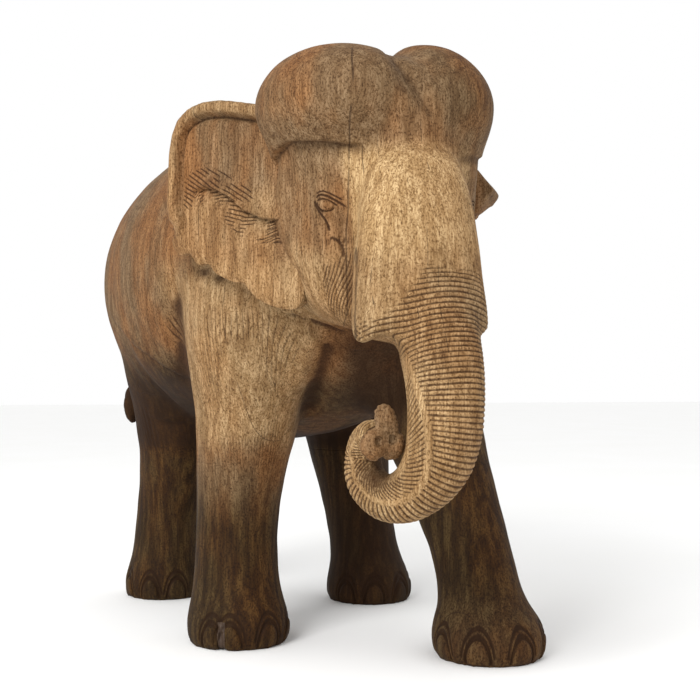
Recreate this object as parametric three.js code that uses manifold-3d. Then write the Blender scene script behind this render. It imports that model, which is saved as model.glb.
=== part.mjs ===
// A carved wooden elephant, walking, with its trunk curled under and to its right.
// It is built up from blocks of timber and carved as one figure: torso, head, trunk, trunk tip,
// legs, ears and tail are separate pieces with glued joints, and turned hardwood pegs hold them.
// Millimetres, +Z up. The elephant faces -Y, its left side is +X, and its soles stand on Z = 0.
import * as THREE from "three";
import { mergeVertices } from "three/addons/utils/BufferGeometryUtils.js";
import Module from "manifold-3d";

const wasm = await Module();
wasm.setup();

// ---------------------------------------------------------------- driving dimensions

const GAP = 0.3; // glue line, and the clearance round a peg
const LEG_JOINT_Z = 300; // the legs' flat tops, where they meet the torso
const HEAD_JOINT_Y = -305; // the flat back of the head block
const TRUNK_JOINT_Z = 452; // the flat underside of the head block, where the curled trunk starts
const TIP_JOINT_Y = -556; // the flat back of the trunk tip
const MIDLINE_X = -28; // the head is carried a little to the right of the torso's midline

const LEG_PEG = { radius: 11, length: 110, apart: 60 };
const NECK_PEG = { radius: 16, length: 150, apart: 120 };
const TRUNK_PEG = { radius: 9, length: 80, apart: 44 };
const TIP_PEG = { radius: 6, length: 28 };
const CRACK_WEDGE = { width: 12, low: 0.6, high: 46, inner: 62, turn: -125 };

// ---------------------------------------------------------------- shapes

const FAR = 1000; // past everything
const vec = (x, y, z) => new THREE.Vector3(x, y, z);
const X = vec(1, 0, 0);
const Y = vec(0, 1, 0);
const Z = vec(0, 0, 1);

// A closed geometry as a manifold solid.
function solid(geometry) {
  const bare = new THREE.BufferGeometry().setAttribute("position", geometry.getAttribute("position"));
  bare.setIndex(geometry.index);
  const merged = mergeVertices(bare, 1e-3);
  return new wasm.Manifold(
    new wasm.Mesh({
      numProp: 3,
      vertProperties: new Float32Array(merged.attributes.position.array),
      triVerts: new Uint32Array(merged.index.array),
    }),
  );
}

// A solid as a named mesh.
function piece(name, made, material) {
  const { numProp, numVert, vertProperties, triVerts } = made.getMesh();
  const places = new Float32Array(numVert * 3);
  for (let i = 0; i < numVert; i++) places.set(vertProperties.subarray(i * numProp, i * numProp + 3), i * 3);
  const geometry = new THREE.BufferGeometry();
  geometry.setAttribute("position", new THREE.BufferAttribute(places, 3));
  geometry.setIndex(new THREE.BufferAttribute(new Uint32Array(triVerts), 1));
  geometry.computeVertexNormals();
  const mesh = new THREE.Mesh(geometry, material);
  mesh.name = name;
  return mesh;
}

const join = (...solids) => solids.reduce((whole, next) => whole.add(next));
const cut = (whole, ...tools) => tools.reduce((left, tool) => left.subtract(tool), whole);

// The largest body of a solid, without the chips that a cut leaves beside it.
const largest = (made) =>
  made.decompose().reduce((big, next) => (next.volume() > big.volume() ? next : big));

// A body swept through sections. Each station has its centre `at`, its half width `wide`, its half
// depth `deep`, and `square`, the superellipse power that makes it boxier above 2.
// `axes(t, spine)` gives the section's sideways and facing directions.
function loft(stations, around, along, axes, grow = 0) {
  const spine = new THREE.CatmullRomCurve3(stations.map((s) => vec(...s.at)));
  const girth = new THREE.CatmullRomCurve3(stations.map((s) => vec(s.wide, s.deep, s.square ?? 2)));
  const geometry = new THREE.CylinderGeometry(1, 1, 1, around, along);
  const place = geometry.getAttribute("position");
  for (let i = 0; i < place.count; i++) {
    const t = Math.min(1, Math.max(0, place.getY(i) + 0.5));
    const reach = Math.hypot(place.getX(i), place.getZ(i));
    const angle = Math.atan2(place.getZ(i), place.getX(i));
    const size = girth.getPoint(t);
    const [sideways, facing] = axes(t, spine);
    const c = Math.cos(angle);
    const s = Math.sin(angle);
    const round = reach * (Math.abs(c) ** size.z + Math.abs(s) ** size.z) ** (-1 / size.z);
    const point = spine
      .getPoint(t)
      .addScaledVector(sideways, round * c * (size.x + grow))
      .addScaledVector(facing, round * s * (size.y + grow));
    place.setXYZ(i, point.x, point.y, point.z);
  }
  return solid(geometry);
}

// Level sections, for what stands up.
const upright = () => [X, Y.clone().negate()];

// Sections across the length of the torso.
const lengthwise = () => [X, Z];

// Sections square to the spine. `fronts` are the directions that the body's upper face turns through.
function following(fronts) {
  const turn = new THREE.CatmullRomCurve3(fronts.map((f) => vec(...f)));
  return (t, spine) => {
    const tangent = spine.getTangent(t);
    const facing = turn.getPoint(t);
    facing.addScaledVector(tangent, -facing.dot(tangent)).normalize();
    return [new THREE.Vector3().crossVectors(tangent, facing), facing];
  };
}

function ellipsoid(at, radii, tilt = [0, 0, 0], fineness = 18) {
  const geometry = new THREE.SphereGeometry(1, fineness, Math.round(fineness * 0.7));
  geometry.applyMatrix4(
    new THREE.Matrix4().compose(
      vec(...at),
      new THREE.Quaternion().setFromEuler(new THREE.Euler(...tilt.map(THREE.MathUtils.degToRad))),
      vec(...radii),
    ),
  );
  return solid(geometry);
}

function box(low, high) {
  const geometry = new THREE.BoxGeometry(...high.map((v, i) => v - low[i]));
  geometry.translate(...high.map((v, i) => (v + low[i]) / 2));
  return solid(geometry);
}

// A round bar centred on `at`, along `axis`.
function bar(at, axis, radius, length, sides = 12) {
  const geometry = new THREE.CylinderGeometry(radius, radius, length, sides);
  geometry.applyQuaternion(new THREE.Quaternion().setFromUnitVectors(Y, axis.clone().normalize()));
  geometry.translate(...at);
  return solid(geometry);
}

// ---------------------------------------------------------------- torso and legs

const torsoMass = loft(
  [
    { at: [-10, -335, 660], wide: 110, deep: 150 },
    { at: [-6, -270, 652], wide: 195, deep: 222 },
    { at: [0, -160, 642], wide: 255, deep: 264 },
    { at: [0, -10, 632], wide: 308, deep: 292 },
    { at: [0, 140, 628], wide: 330, deep: 302 },
    { at: [0, 280, 628], wide: 330, deep: 300 },
    { at: [0, 390, 622], wide: 268, deep: 260 },
    { at: [0, 455, 612], wide: 145, deep: 155 },
    { at: [0, 472, 606], wide: 40, deep: 45 },
  ],
  28,
  20,
  lengthwise,
);

// Legs from sole to shoulder or hip. Each foot swells above the sole, narrows at the ankle and
// widens into the body.
const LEGS = {
  front_right: [
    { at: [-162, -107, 0], wide: 80, deep: 82 },
    { at: [-162, -107, 26], wide: 87, deep: 92 },
    { at: [-162, -105, 58], wide: 82, deep: 86 },
    { at: [-163, -102, 98], wide: 72, deep: 73 },
    { at: [-163, -100, 180], wide: 68, deep: 72 },
    { at: [-156, -104, 280], wide: 75, deep: 82 },
    { at: [-146, -118, 400], wide: 92, deep: 108 },
    { at: [-148, -138, 520], wide: 112, deep: 130 },
    { at: [-140, -140, 640], wide: 96, deep: 120 },
    { at: [-130, -130, 720], wide: 50, deep: 60 },
  ],
  front_left: [
    { at: [178, -355, 0], wide: 82, deep: 84 },
    { at: [178, -355, 26], wide: 92, deep: 94 },
    { at: [178, -350, 58], wide: 84, deep: 86 },
    { at: [173, -340, 98], wide: 66, deep: 70 },
    { at: [162, -316, 180], wide: 66, deep: 72 },
    { at: [144, -275, 280], wide: 76, deep: 84 },
    { at: [127, -222, 400], wide: 91, deep: 105 },
    { at: [120, -170, 520], wide: 108, deep: 125 },
    { at: [120, -145, 640], wide: 95, deep: 120 },
    { at: [120, -130, 720], wide: 50, deep: 60 },
  ],
  rear_right: [
    { at: [-183, 363, 0], wide: 76, deep: 82 },
    { at: [-183, 363, 26], wide: 82, deep: 90 },
    { at: [-182, 363, 58], wide: 76, deep: 84 },
    { at: [-180, 362, 98], wide: 68, deep: 76 },
    { at: [-174, 360, 180], wide: 66, deep: 80 },
    { at: [-166, 348, 280], wide: 72, deep: 92 },
    { at: [-166, 322, 400], wide: 94, deep: 122 },
    { at: [-175, 290, 520], wide: 120, deep: 145 },
    { at: [-165, 270, 640], wide: 100, deep: 120 },
    { at: [-140, 260, 720], wide: 50, deep: 60 },
  ],
  rear_left: [
    { at: [190, 163, 0], wide: 80, deep: 84 },
    { at: [190, 163, 26], wide: 87, deep: 90 },
    { at: [189, 165, 58], wide: 80, deep: 84 },
    { at: [185, 172, 98], wide: 68, deep: 74 },
    { at: [178, 190, 180], wide: 68, deep: 78 },
    { at: [170, 218, 280], wide: 78, deep: 94 },
    { at: [170, 250, 400], wide: 98, deep: 120 },
    { at: [175, 268, 520], wide: 120, deep: 142 },
    { at: [165, 270, 640], wide: 100, deep: 120 },
    { at: [140, 260, 720], wide: 50, deep: 60 },
  ],
};

const legMasses = Object.fromEntries(
  Object.entries(LEGS).map(([place, stations]) => [place, loft(stations, 16, 14, upright)]),
);

// ---------------------------------------------------------------- head

const headMass = join(
  ellipsoid([-14, -315, 690], [168, 130, 182]), // neck
  ellipsoid([MIDLINE_X, -400, 775], [155, 135, 150]), // skull
  ellipsoid([MIDLINE_X - 2, -470, 812], [92, 84, 88]), // forehead
  ellipsoid([MIDLINE_X - 72, -408, 834], [124, 150, 90], [0, 0, 0], 22), // right dome
  ellipsoid([MIDLINE_X + 60, -402, 836], [112, 144, 97], [0, 0, 0], 22), // left dome
  loft(
    [
      { at: [MIDLINE_X - 6, -446, 506], wide: 40, deep: 60 },
      { at: [MIDLINE_X - 6, -430, 520], wide: 82, deep: 100 },
      { at: [MIDLINE_X - 4, -400, 550], wide: 118, deep: 134 },
      { at: [MIDLINE_X, -370, 610], wide: 142, deep: 152 },
      { at: [MIDLINE_X, -345, 690], wide: 158, deep: 168 },
      { at: [MIDLINE_X, -340, 780], wide: 166, deep: 172 },
    ],
    20,
    8,
    upright,
  ), // face and jaw
);

// The trunk's wide root stands proud of the face. Its lower corners flare over the mouth.
const trunkRoot = loft(
  [
    { at: [MIDLINE_X - 7, -560, 486], wide: 92, deep: 46, square: 3.4 },
    { at: [MIDLINE_X - 7, -557, 520], wide: 93, deep: 56, square: 3 },
    { at: [MIDLINE_X - 5, -547, 600], wide: 88, deep: 60, square: 2.7 },
    { at: [MIDLINE_X - 2, -535, 680], wide: 82, deep: 56, square: 2.5 },
    { at: [MIDLINE_X, -520, 740], wide: 68, deep: 44, square: 2.4 },
    { at: [MIDLINE_X, -508, 772], wide: 30, deep: 24 },
  ],
  20,
  9,
  upright,
);

// The hollow under each flared corner, between it and the free trunk.
const underFlare = (side) => bar([MIDLINE_X - 7 + side * 92, -560, 450], Y, 50, 200, 24);

const TIP_AT = [-98, TIP_JOINT_Y - 12, 356];
const trunkMass = loft(
  [
    { at: [MIDLINE_X - 4, -500, 640], wide: 56, deep: 52, square: 2.4 },
    { at: [MIDLINE_X - 2, -545, 560], wide: 60, deep: 54, square: 2.4 },
    { at: [-26, -580, 500], wide: 57, deep: 54, square: 2.4 },
    { at: [-23, -603, 430], wide: 53, deep: 50, square: 2.3 },
    { at: [-25, -608, 370], wide: 50, deep: 48, square: 2.3 },
    { at: [-34, -600, 321], wide: 45, deep: 45, square: 2.2 },
    { at: [-55, -575, 284], wide: 38, deep: 38 },
    { at: [-78, -540, 272], wide: 33, deep: 33 },
    { at: [-97, -508, 295], wide: 29, deep: 29 },
    { at: [-98, -502, 334], wide: 26, deep: 26 },
    { at: [TIP_AT[0], -530, TIP_AT[2]], wide: 25, deep: 25 },
    { at: [TIP_AT[0], TIP_JOINT_Y, TIP_AT[2]], wide: 26, deep: 26 },
  ],
  16,
  34,
  following([
    [0, -1, 0],
    [0, -1, 0],
    [0, -1, -0.5],
    [0.3, -0.6, -1],
    [0, 0.2, -1],
    [-0.6, 0.6, -0.4],
    [-0.4, 0.6, 0.7],
    [0, 0, 1],
  ]),
);

// The trunk's tip: two lobes under a finger, with two nostrils, on a flat back.
function trunkTip() {
  const [x, y, z] = TIP_AT;
  const lobes = join(
    ellipsoid([x - 13, y, z - 8], [19, 17, 22], [0, 0, 0], 10),
    ellipsoid([x + 13, y, z - 8], [19, 17, 22], [0, 0, 0], 10),
    ellipsoid([x + 5, y - 2, z + 22], [15, 15, 26], [0, -18, 0], 10),
  );
  const nostril = (side) => bar([x + side * 11, y - 14, z - 2], Y, 5.5, 20, 8);
  const behind = box([x - 60, TIP_JOINT_Y - GAP, z - 60], [x + 60, TIP_JOINT_Y + 60, z + 60]);
  return cut(lobes, nostril(-1), nostril(1), behind);
}

// ---------------------------------------------------------------- ears and tail

// Each ear is a thick leaf that stands in a groove down the side of the head. A rim is rolled
// forward round its top and back. Its outline is along the ear from the head, then up.
const EAR_OUTLINE = [
  [-30, 838],
  [30, 852],
  [78, 864],
  [118, 867],
  [154, 860],
  [178, 847],
  [191, 826],
  [196, 796],
  [198, 757],
  [199, 710],
  [194, 674],
  [178, 640],
  [152, 630],
  [122, 613],
  [98, 598],
  [72, 580],
  [42, 568],
  [8, 555],
  [-30, 542],
  [-58, 536],
  [-66, 566],
  [-66, 632],
  [-62, 700],
  [-52, 780],
];
const EAR_HEART = [74, 720];
const EAR = { thickness: 26, rim: 9, rimWidth: 0.13, segments: 40, bow: 8 };
const EAR_PLACES = {
  right: { side: -1, root: [-185, -345], back: [-292, -165] },
  left: { side: 1, root: [131, -345], back: [226, -165], fold: [212, -272, 746] },
};

function earPanel({ side, root, back, fold }, grow = 0) {
  const outline = new THREE.CatmullRomCurve3(EAR_OUTLINE.map(([u, v]) => vec(u, v, 0)), true);
  const half = EAR.thickness / 2;
  const rimInside = 1 - EAR.rimWidth - grow / 50;
  const profile = [
    [0, -half - grow],
    [0.92, -half - grow],
    [1, -half * 0.5 - grow],
    [1, half * 0.6 + grow],
    [1 - EAR.rimWidth * 0.3, half + grow],
    [rimInside + EAR.rimWidth * 0.2, half + grow],
    [rimInside, half * 0.6 + grow],
    [0.5, half * 0.6 + grow],
    [0, half * 0.6 + grow],
  ];
  const geometry = new THREE.LatheGeometry(profile.map(([r, h]) => new THREE.Vector2(r, h)), EAR.segments);
  const place = geometry.getAttribute("position");
  const along = new THREE.Vector2(back[0] - root[0], back[1] - root[1]);
  const length = along.length();
  along.normalize();
  const outward = new THREE.Vector2(along.y * side, -along.x * side);
  for (let i = 0; i < place.count; i++) {
    const reach = Math.hypot(place.getX(i), place.getZ(i));
    const turn = (Math.atan2(-side * place.getX(i), place.getZ(i)) / (2 * Math.PI) + 1) % 1;
    const edge = outline.getPoint(turn);
    const spread = reach * (1 + grow / 100);
    const u = EAR_HEART[0] + (edge.x - EAR_HEART[0]) * spread;
    const v = EAR_HEART[1] + (edge.y - EAR_HEART[1]) * spread;
    const rolled = THREE.MathUtils.smoothstep(u + (v - 640) * 0.5, 60, 150);
    const onRim = reach > 1 - EAR.rimWidth * 0.9 && place.getY(i) > half * 0.8;
    const bow = EAR.bow * Math.sin(Math.PI * THREE.MathUtils.clamp(u / length, -0.4, 1));
    const out = place.getY(i) + bow + (onRim ? EAR.rim * rolled : 0);
    place.setXYZ(i, root[0] + along.x * u + outward.x * out, root[1] + along.y * u + outward.y * out, v);
  }
  if (!fold) return solid(geometry);
  const turned = [0, 0, THREE.MathUtils.radToDeg(Math.atan2(-along.x, along.y))];
  return join(solid(geometry), ellipsoid(fold, [26 + grow, 50 + grow, 28 + grow], turned, 12));
}

const tailMass = (grow = 0) =>
  loft(
    [
      { at: [0, 440, 742], wide: 12, deep: 14 },
      { at: [-4, 478, 704], wide: 24, deep: 20 },
      { at: [-22, 496, 640], wide: 21, deep: 18 },
      { at: [-66, 498, 570], wide: 18, deep: 16 },
      { at: [-132, 486, 505], wide: 17, deep: 16 },
      { at: [-196, 462, 452], wide: 22, deep: 18 },
      { at: [-230, 444, 405], wide: 28, deep: 22 },
      { at: [-238, 436, 364], wide: 18, deep: 14 },
      { at: [-238, 434, 350], wide: 5, deep: 5 },
    ],
    10,
    16,
    following([
      [0, 1, 0.3],
      [0, 1, 0],
      [-0.4, 1, 0],
      [-0.7, 0.8, 0],
    ]),
    grow,
  );

// ---------------------------------------------------------------- filler in the cracked foot

// A strip of wood let into a drying crack at the front of the right front foot.
function crackWedge(grow = 0) {
  const { width, low, high, inner, turn } = CRACK_WEDGE;
  const half = width / 2 + grow;
  const bottom = grow > 0 ? -FAR : low;
  const geometry = new THREE.BoxGeometry(FAR, 2 * half, high + grow - bottom);
  geometry.translate(inner - grow + FAR / 2, 0, (high + grow + bottom) / 2);
  geometry.rotateZ(THREE.MathUtils.degToRad(turn));
  geometry.translate(LEGS.front_right[1].at[0], LEGS.front_right[1].at[1], 0);
  return solid(geometry);
}

// ---------------------------------------------------------------- pegs

// Each peg has its own centre, axis and size. Its hole is wider and longer by the clearance.
function pegsFor(prefix, centres, axis, { radius, length }) {
  return centres.map((at, i) => ({
    name: centres.length > 1 ? `${prefix}_${i + 1}` : prefix,
    made: bar(at, axis, radius, length),
    hole: bar(at, axis, radius + GAP, length + 2 * GAP),
  }));
}

const legPegs = Object.entries(LEGS).flatMap(([place, stations]) => {
  const [low, high] = [stations[4], stations[5]];
  const share = (LEG_JOINT_Z - low.at[2]) / (high.at[2] - low.at[2]);
  const [x, y] = [0, 1].map((k) => THREE.MathUtils.lerp(low.at[k], high.at[k], share));
  const half = LEG_PEG.apart / 2;
  const centres = [-half, half].map((across) => [x, y + across, LEG_JOINT_Z]);
  return pegsFor(`${place}_leg_peg`, centres, Z, LEG_PEG);
});
const sides = (x, y, z, apart) => [-1, 1].map((side) => [x + (side * apart) / 2, y, z]);
const neckPegs = pegsFor("neck_peg", sides(-14, HEAD_JOINT_Y, 680, NECK_PEG.apart), Y, NECK_PEG);
const trunkPegs = pegsFor("trunk_peg", sides(-24, -597, TRUNK_JOINT_Z, TRUNK_PEG.apart), Z, TRUNK_PEG);
const tipPegs = pegsFor("trunk_tip_peg", [[TIP_AT[0], TIP_JOINT_Y, TIP_AT[2]]], Y, TIP_PEG);
const pegs = [...legPegs, ...neckPegs, ...trunkPegs, ...tipPegs];
const drilled = (made) => cut(made, ...pegs.map((peg) => peg.hole));

// ---------------------------------------------------------------- the figure, cut into blocks

const figure = join(
  torsoMass,
  ...Object.values(legMasses),
  headMass,
  cut(trunkRoot, underFlare(-1), underFlare(1)),
  trunkMass,
);
const headBlock = (gap) => box([-FAR, -FAR, TRUNK_JOINT_Z + gap], [FAR, HEAD_JOINT_Y - gap, FAR]);
const legBlock = (gap) => box([-FAR, -FAR, -FAR], [FAR, FAR, LEG_JOINT_Z - gap]);
const ears = Object.fromEntries(Object.entries(EAR_PLACES).map(([side, at]) => [side, earPanel(at)]));
const earGrooves = Object.values(EAR_PLACES).map((at) => earPanel(at, GAP));

const teak = new THREE.MeshStandardMaterial({ color: 0x8a6a4a, roughness: 0.8, metalness: 0 });
const darkTeak = new THREE.MeshStandardMaterial({ color: 0x4f3a28, roughness: 0.85, metalness: 0 });
const paleTeak = new THREE.MeshStandardMaterial({ color: 0xa08358, roughness: 0.8, metalness: 0 });
const hardwood = new THREE.MeshStandardMaterial({ color: 0xb98d5a, roughness: 0.6, metalness: 0 });

const elephant = new THREE.Group();
const trunkOnly = box([-FAR, -FAR, 0], [FAR, -300, TRUNK_JOINT_Z]);
const torso = cut(join(torsoMass, ...Object.values(legMasses), headMass), headBlock(0), legBlock(0));
elephant.add(piece("torso", drilled(largest(cut(torso, tailMass(GAP), ...earGrooves))), teak));
elephant.add(piece("head", drilled(largest(cut(figure.intersect(headBlock(GAP)), ...earGrooves))), teak));
elephant.add(piece("trunk", drilled(largest(trunkMass.intersect(trunkOnly))), paleTeak));
elephant.add(piece("trunk_tip", drilled(trunkTip()), paleTeak));
elephant.add(piece("ear_right", ears.right, teak));
elephant.add(piece("ear_left", ears.left, teak));
elephant.add(piece("tail", tailMass(), darkTeak));
for (const [place, mass] of Object.entries(legMasses)) {
  const leg = mass.intersect(legBlock(GAP));
  const whole = place === "front_right" ? cut(leg, crackWedge(GAP)) : leg;
  elephant.add(piece(`${place}_leg`, drilled(whole), darkTeak));
}
elephant.add(piece("foot_crack_wedge", legMasses.front_right.intersect(crackWedge()), paleTeak));
for (const peg of pegs) elephant.add(piece(peg.name, peg.made, hardwood));

// The origin is under the middle of the whole figure, on the floor.
const bounds = new THREE.Box3().setFromObject(elephant);
elephant.position.set(-(bounds.min.x + bounds.max.x) / 2, -(bounds.min.y + bounds.max.y) / 2, -bounds.min.z);

export default elephant;
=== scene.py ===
"""A carved wooden elephant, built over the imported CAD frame."""

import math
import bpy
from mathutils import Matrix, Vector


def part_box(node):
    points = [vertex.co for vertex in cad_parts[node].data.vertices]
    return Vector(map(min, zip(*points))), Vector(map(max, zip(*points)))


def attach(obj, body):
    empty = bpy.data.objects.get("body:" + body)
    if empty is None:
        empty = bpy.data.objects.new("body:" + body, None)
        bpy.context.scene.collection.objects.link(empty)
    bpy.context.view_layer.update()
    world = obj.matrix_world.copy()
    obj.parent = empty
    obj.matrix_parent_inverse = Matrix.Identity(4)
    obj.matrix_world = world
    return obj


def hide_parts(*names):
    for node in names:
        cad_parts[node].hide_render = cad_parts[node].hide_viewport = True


bl_info = {
    "name": "Carved wooden elephant",
    "version": (1, 0, 0),
    "blender": (4, 5, 0),
    "location": "View3D > Sidebar > Elephant",
    "description": "Carves, tools and weathers a wooden elephant block by block",
    "category": "Object",
}

import bmesh
import bpy
import numpy as np
from bpy.props import FloatProperty, FloatVectorProperty, PointerProperty
from mathutils import Matrix, Vector, noise

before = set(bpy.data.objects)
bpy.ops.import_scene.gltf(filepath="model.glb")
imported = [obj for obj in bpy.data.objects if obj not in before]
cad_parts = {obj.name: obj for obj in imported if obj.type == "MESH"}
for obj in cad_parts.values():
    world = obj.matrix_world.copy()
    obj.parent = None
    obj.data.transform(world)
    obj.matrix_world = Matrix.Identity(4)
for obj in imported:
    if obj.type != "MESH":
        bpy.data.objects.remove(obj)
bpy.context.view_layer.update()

# ---------------------------------------------------------------- the layout frame
# Shapes are laid out in millimetres from a point between the hips, as the carver would mark out the
# log. The head's flat back, 305.3 mm ahead of that point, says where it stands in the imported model.

MM = 0.001
NECK_JOINT = -305.3
TRUNK_JOINT = 452.0
LEG_JOINT = 300.0
ORIGIN = np.array([0.0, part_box("head")[1].y / MM - NECK_JOINT, 0.0])
TRUNK_BACK = -451.0
MIDLINE = -28.0  # the head is carried to the right of the torso's midline


def laid_out(points):
    """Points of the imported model, in metres, as millimetres of the layout."""
    return np.asarray(points, float) / MM - ORIGIN


def packed(points):
    """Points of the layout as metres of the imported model."""
    return (np.asarray(points, float) + ORIGIN) * MM


# ---------------------------------------------------------------- sizes and colours to change


def millimetres(name, text, size, least=0.05, most=50.0):
    """A length property, given in millimetres."""
    limits = {"min": least * MM, "max": most * MM}
    return FloatProperty(name=name, description=text, default=size * MM, unit="LENGTH", **limits)


def linear(colour):
    """An sRGB hex colour as linear RGBA."""
    parts = [int(colour[i : i + 2], 16) / 255 for i in (1, 3, 5)]
    return tuple(c / 12.92 if c <= 0.04045 else ((c + 0.055) / 1.055) ** 2.4 for c in parts) + (1.0,)


def tint(name, text, colour):
    limits = {"size": 4, "min": 0, "max": 1}
    return FloatVectorProperty(name=name, description=text, default=linear(colour), subtype="COLOR", **limits)


class ElephantSizes(bpy.types.PropertyGroup):
    """Sizes of the carver's cuts, and of the grain"""

    skin_voxel: millimetres("Skin", "Spacing of the skin over the blocked-out figure", 7.0, 4.0)
    ear_voxel: millimetres("Ear skin", "Spacing of the skin over each ear", 4.0, 2.0)
    small_voxel: millimetres("Fine skin", "Spacing of the skin over the trunk tip and the tail", 2.5, 1.5)
    ring_pitch: millimetres("Trunk rings", "Distance from ring to ring down the trunk", 6.0, 3.0)
    ring_depth: millimetres("Ring depth", "How deep the rings are cut", 1.6)
    gouge_pitch: millimetres("Gouge lines", "Distance between the fine skin lines", 6.5, 3.0)
    gouge_depth: millimetres("Gouge depth", "How deep the fine skin lines are cut", 0.9)
    nail_width: millimetres("Nail width", "Width of a toenail", 42.0, 20.0, 80.0)
    nail_height: millimetres("Nail height", "Height of a toenail", 42.0, 20.0, 80.0)
    fibre_width: millimetres("Fibre width", "Width of the streaks of the grain", 2.4, 0.5)
    fibre_length: millimetres("Fibre length", "Length of the streaks of the grain", 40.0, 10.0, 300.0)
    growth_ring: millimetres("Growth ring", "Width of a growth ring, with its dark late wood", 11.0, 2.0)
    crack_apart: millimetres("Cracks apart", "Distance between long drying cracks", 62.0, 30.0, 500.0)
    crack_width: millimetres("Crack width", "How wide the drying cracks stand open", 0.3)
    check_apart: millimetres("Checks apart", "Distance between short surface checks", 14.0, 3.0, 100.0)


class ElephantColours(bpy.types.PropertyGroup):
    """Colours of the wood, where it is fresh, weathered or damp, and of its painted light and shade"""

    heartwood: tint("Heartwood", "Sound wood under a worn surface", "#9a7048")
    weathered: tint("Weathered", "Wood greyed by sun and rain", "#8c7356")
    # The pale sapwood of the trunk and its root, also the colour of the painted light on the lit side and the
    # shoulders.
    pale_and_lit_wood: tint("Sapwood", "The paler wood of the trunk's root", "#c8aa7e")
    # How far damp and painted shade darken the wood.
    damp_and_shade: tint("Damp", "How far standing damp darkens the wood", "#8f8b70")
    # The colour of the painted shade laid into the cuts, creases and sheltered hollows.
    painted_shade: tint("Hollows", "Dust and old oil left in the cuts", "#4a2e15")
    crack: tint("Cracks", "The inside of a drying crack", "#2c1c10")
    filler: tint("Filler", "The strip let into the cracked foot", "#4f3b28")
    peg: tint("Pegs", "Turned pegs inside the joints", "#b58e5f")
    floor: tint("Floor", "The studio floor", "#f6f6f4")


def sizes():
    return bpy.context.scene.elephant_sizes


def colours():
    return bpy.context.scene.elephant_colours


# ---------------------------------------------------------------- numbers over a surface


def step(x, low, high):
    """0 below low, 1 above high, and a smooth rise between."""
    t = np.clip((x - low) / (high - low), 0, 1)
    return t * t * (3 - 2 * t)


def band(x, low, high, soft):
    """1 between low and high, fading over soft on each side."""
    return step(x, low - soft, low) * (1 - step(x, high, high + soft))


def near(P, centre, radii):
    """A soft ball: 1 at the centre, falling off over the radii."""
    return np.exp(-(((P - np.array(centre)) / np.array(radii)) ** 2).sum(1))


def along_path(P, path):
    """Distance from each point to a polyline, and how far along the line its foot lies."""
    path = np.array(path, float)
    best = np.full(len(P), 1e9)
    place = np.zeros(len(P))
    done = 0.0
    for a, b in zip(path[:-1], path[1:]):
        span = b - a
        length = np.linalg.norm(span)
        t = np.clip(((P - a) @ span) / length**2, 0, 1)
        gap = np.linalg.norm(P - a - t[:, None] * span, axis=1)
        nearer = gap < best
        best = np.where(nearer, gap, best)
        place = np.where(nearer, done + t * length, place)
        done += length
    return best, place / done


def measured(path):
    """The distance along a polyline at each of its corners."""
    return np.concatenate([[0], np.cumsum(np.linalg.norm(np.diff(path, axis=0), axis=1))])


def crease(P, path, width, taper=0.2):
    """1 on a line, falling off over its width, and fading towards its ends."""
    gap, place = along_path(P, path)
    return np.exp(-((gap / width) ** 2)) * step(place, 0, taper) * (1 - step(place, 1 - taper, 1))


def rough(P, size, seed=0.0):
    """Smooth noise from -1 to 1, with lumps about that size in millimetres."""
    return np.array([noise.noise(Vector(p) / size + Vector((seed, 2 * seed, -seed))) for p in P])


def modelled(P, lumps, lines=()):
    """The sum of soft lumps (height, centre, radii) and of ridges or grooves (height, width, path)."""
    out = np.zeros(len(P))
    for height, centre, radii in lumps:
        out += height * near(P, centre, radii)
    for height, width, path in lines:
        out += height * crease(P, path, width)
    return out


def curve_points(stations, count):
    """A smooth curve through the stations, as a given number of points."""
    s = np.array(stations, float)
    s = np.vstack([2 * s[0] - s[1], s, 2 * s[-1] - s[-2]])
    t = np.linspace(0, len(s) - 3 - 1e-9, count)
    k = t.astype(int)
    u = (t - k)[:, None]
    a, b, c, d = s[k], s[k + 1], s[k + 2], s[k + 3]
    return 0.5 * (2 * b + (c - a) * u + (2 * a - 5 * b + 4 * c - d) * u**2 + (3 * b - a - 3 * c + d) * u**3)


# ---------------------------------------------------------------- meshes


def read(mesh):
    """Vertex places in the layout, and vertex normals."""
    n = len(mesh.vertices)
    co = np.empty(n * 3)
    mesh.vertices.foreach_get("co", co)
    normal = np.empty(n * 3)
    mesh.vertex_normals.foreach_get("vector", normal)
    return laid_out(co.reshape(-1, 3)), normal.reshape(-1, 3)


def write(mesh, P):
    mesh.vertices.foreach_set("co", packed(P).ravel())
    mesh.update()


def edges_of(mesh):
    e = np.empty(len(mesh.edges) * 2, int)
    mesh.edges.foreach_get("vertices", e)
    return e.reshape(-1, 2)


def relax(P, edges, weight, rounds, share=0.5):
    """Draws each point towards the mean of its neighbours."""
    a, b = edges[:, 0], edges[:, 1]
    count = np.bincount(edges.ravel(), minlength=len(P))
    pull = share * (np.broadcast_to(weight, len(P)) / count)[:, None]
    for _ in range(rounds):
        total = np.stack(
            [np.bincount(a, P[b, k], len(P)) + np.bincount(b, P[a, k], len(P)) for k in range(3)], axis=1
        )
        P = P + pull * (total - count[:, None] * P)
    return P


def copied(names, grow=0.0):
    """CAD nodes as one bmesh, with their corners merged and their faces moved out a little."""
    bm = bmesh.new()
    for name in names:
        bm.from_mesh(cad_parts[name].data)
    bmesh.ops.remove_doubles(bm, verts=bm.verts, dist=1e-6)
    bm.normal_update()
    for v in bm.verts:
        v.co += v.normal * grow
    return bm


def finished(bm, name):
    """A bmesh as an object at the origin."""
    mesh = bpy.data.meshes.new(name)
    bm.to_mesh(mesh)
    bm.free()
    obj = bpy.data.objects.new(name, mesh)
    bpy.context.scene.collection.objects.link(obj)
    return obj


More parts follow.
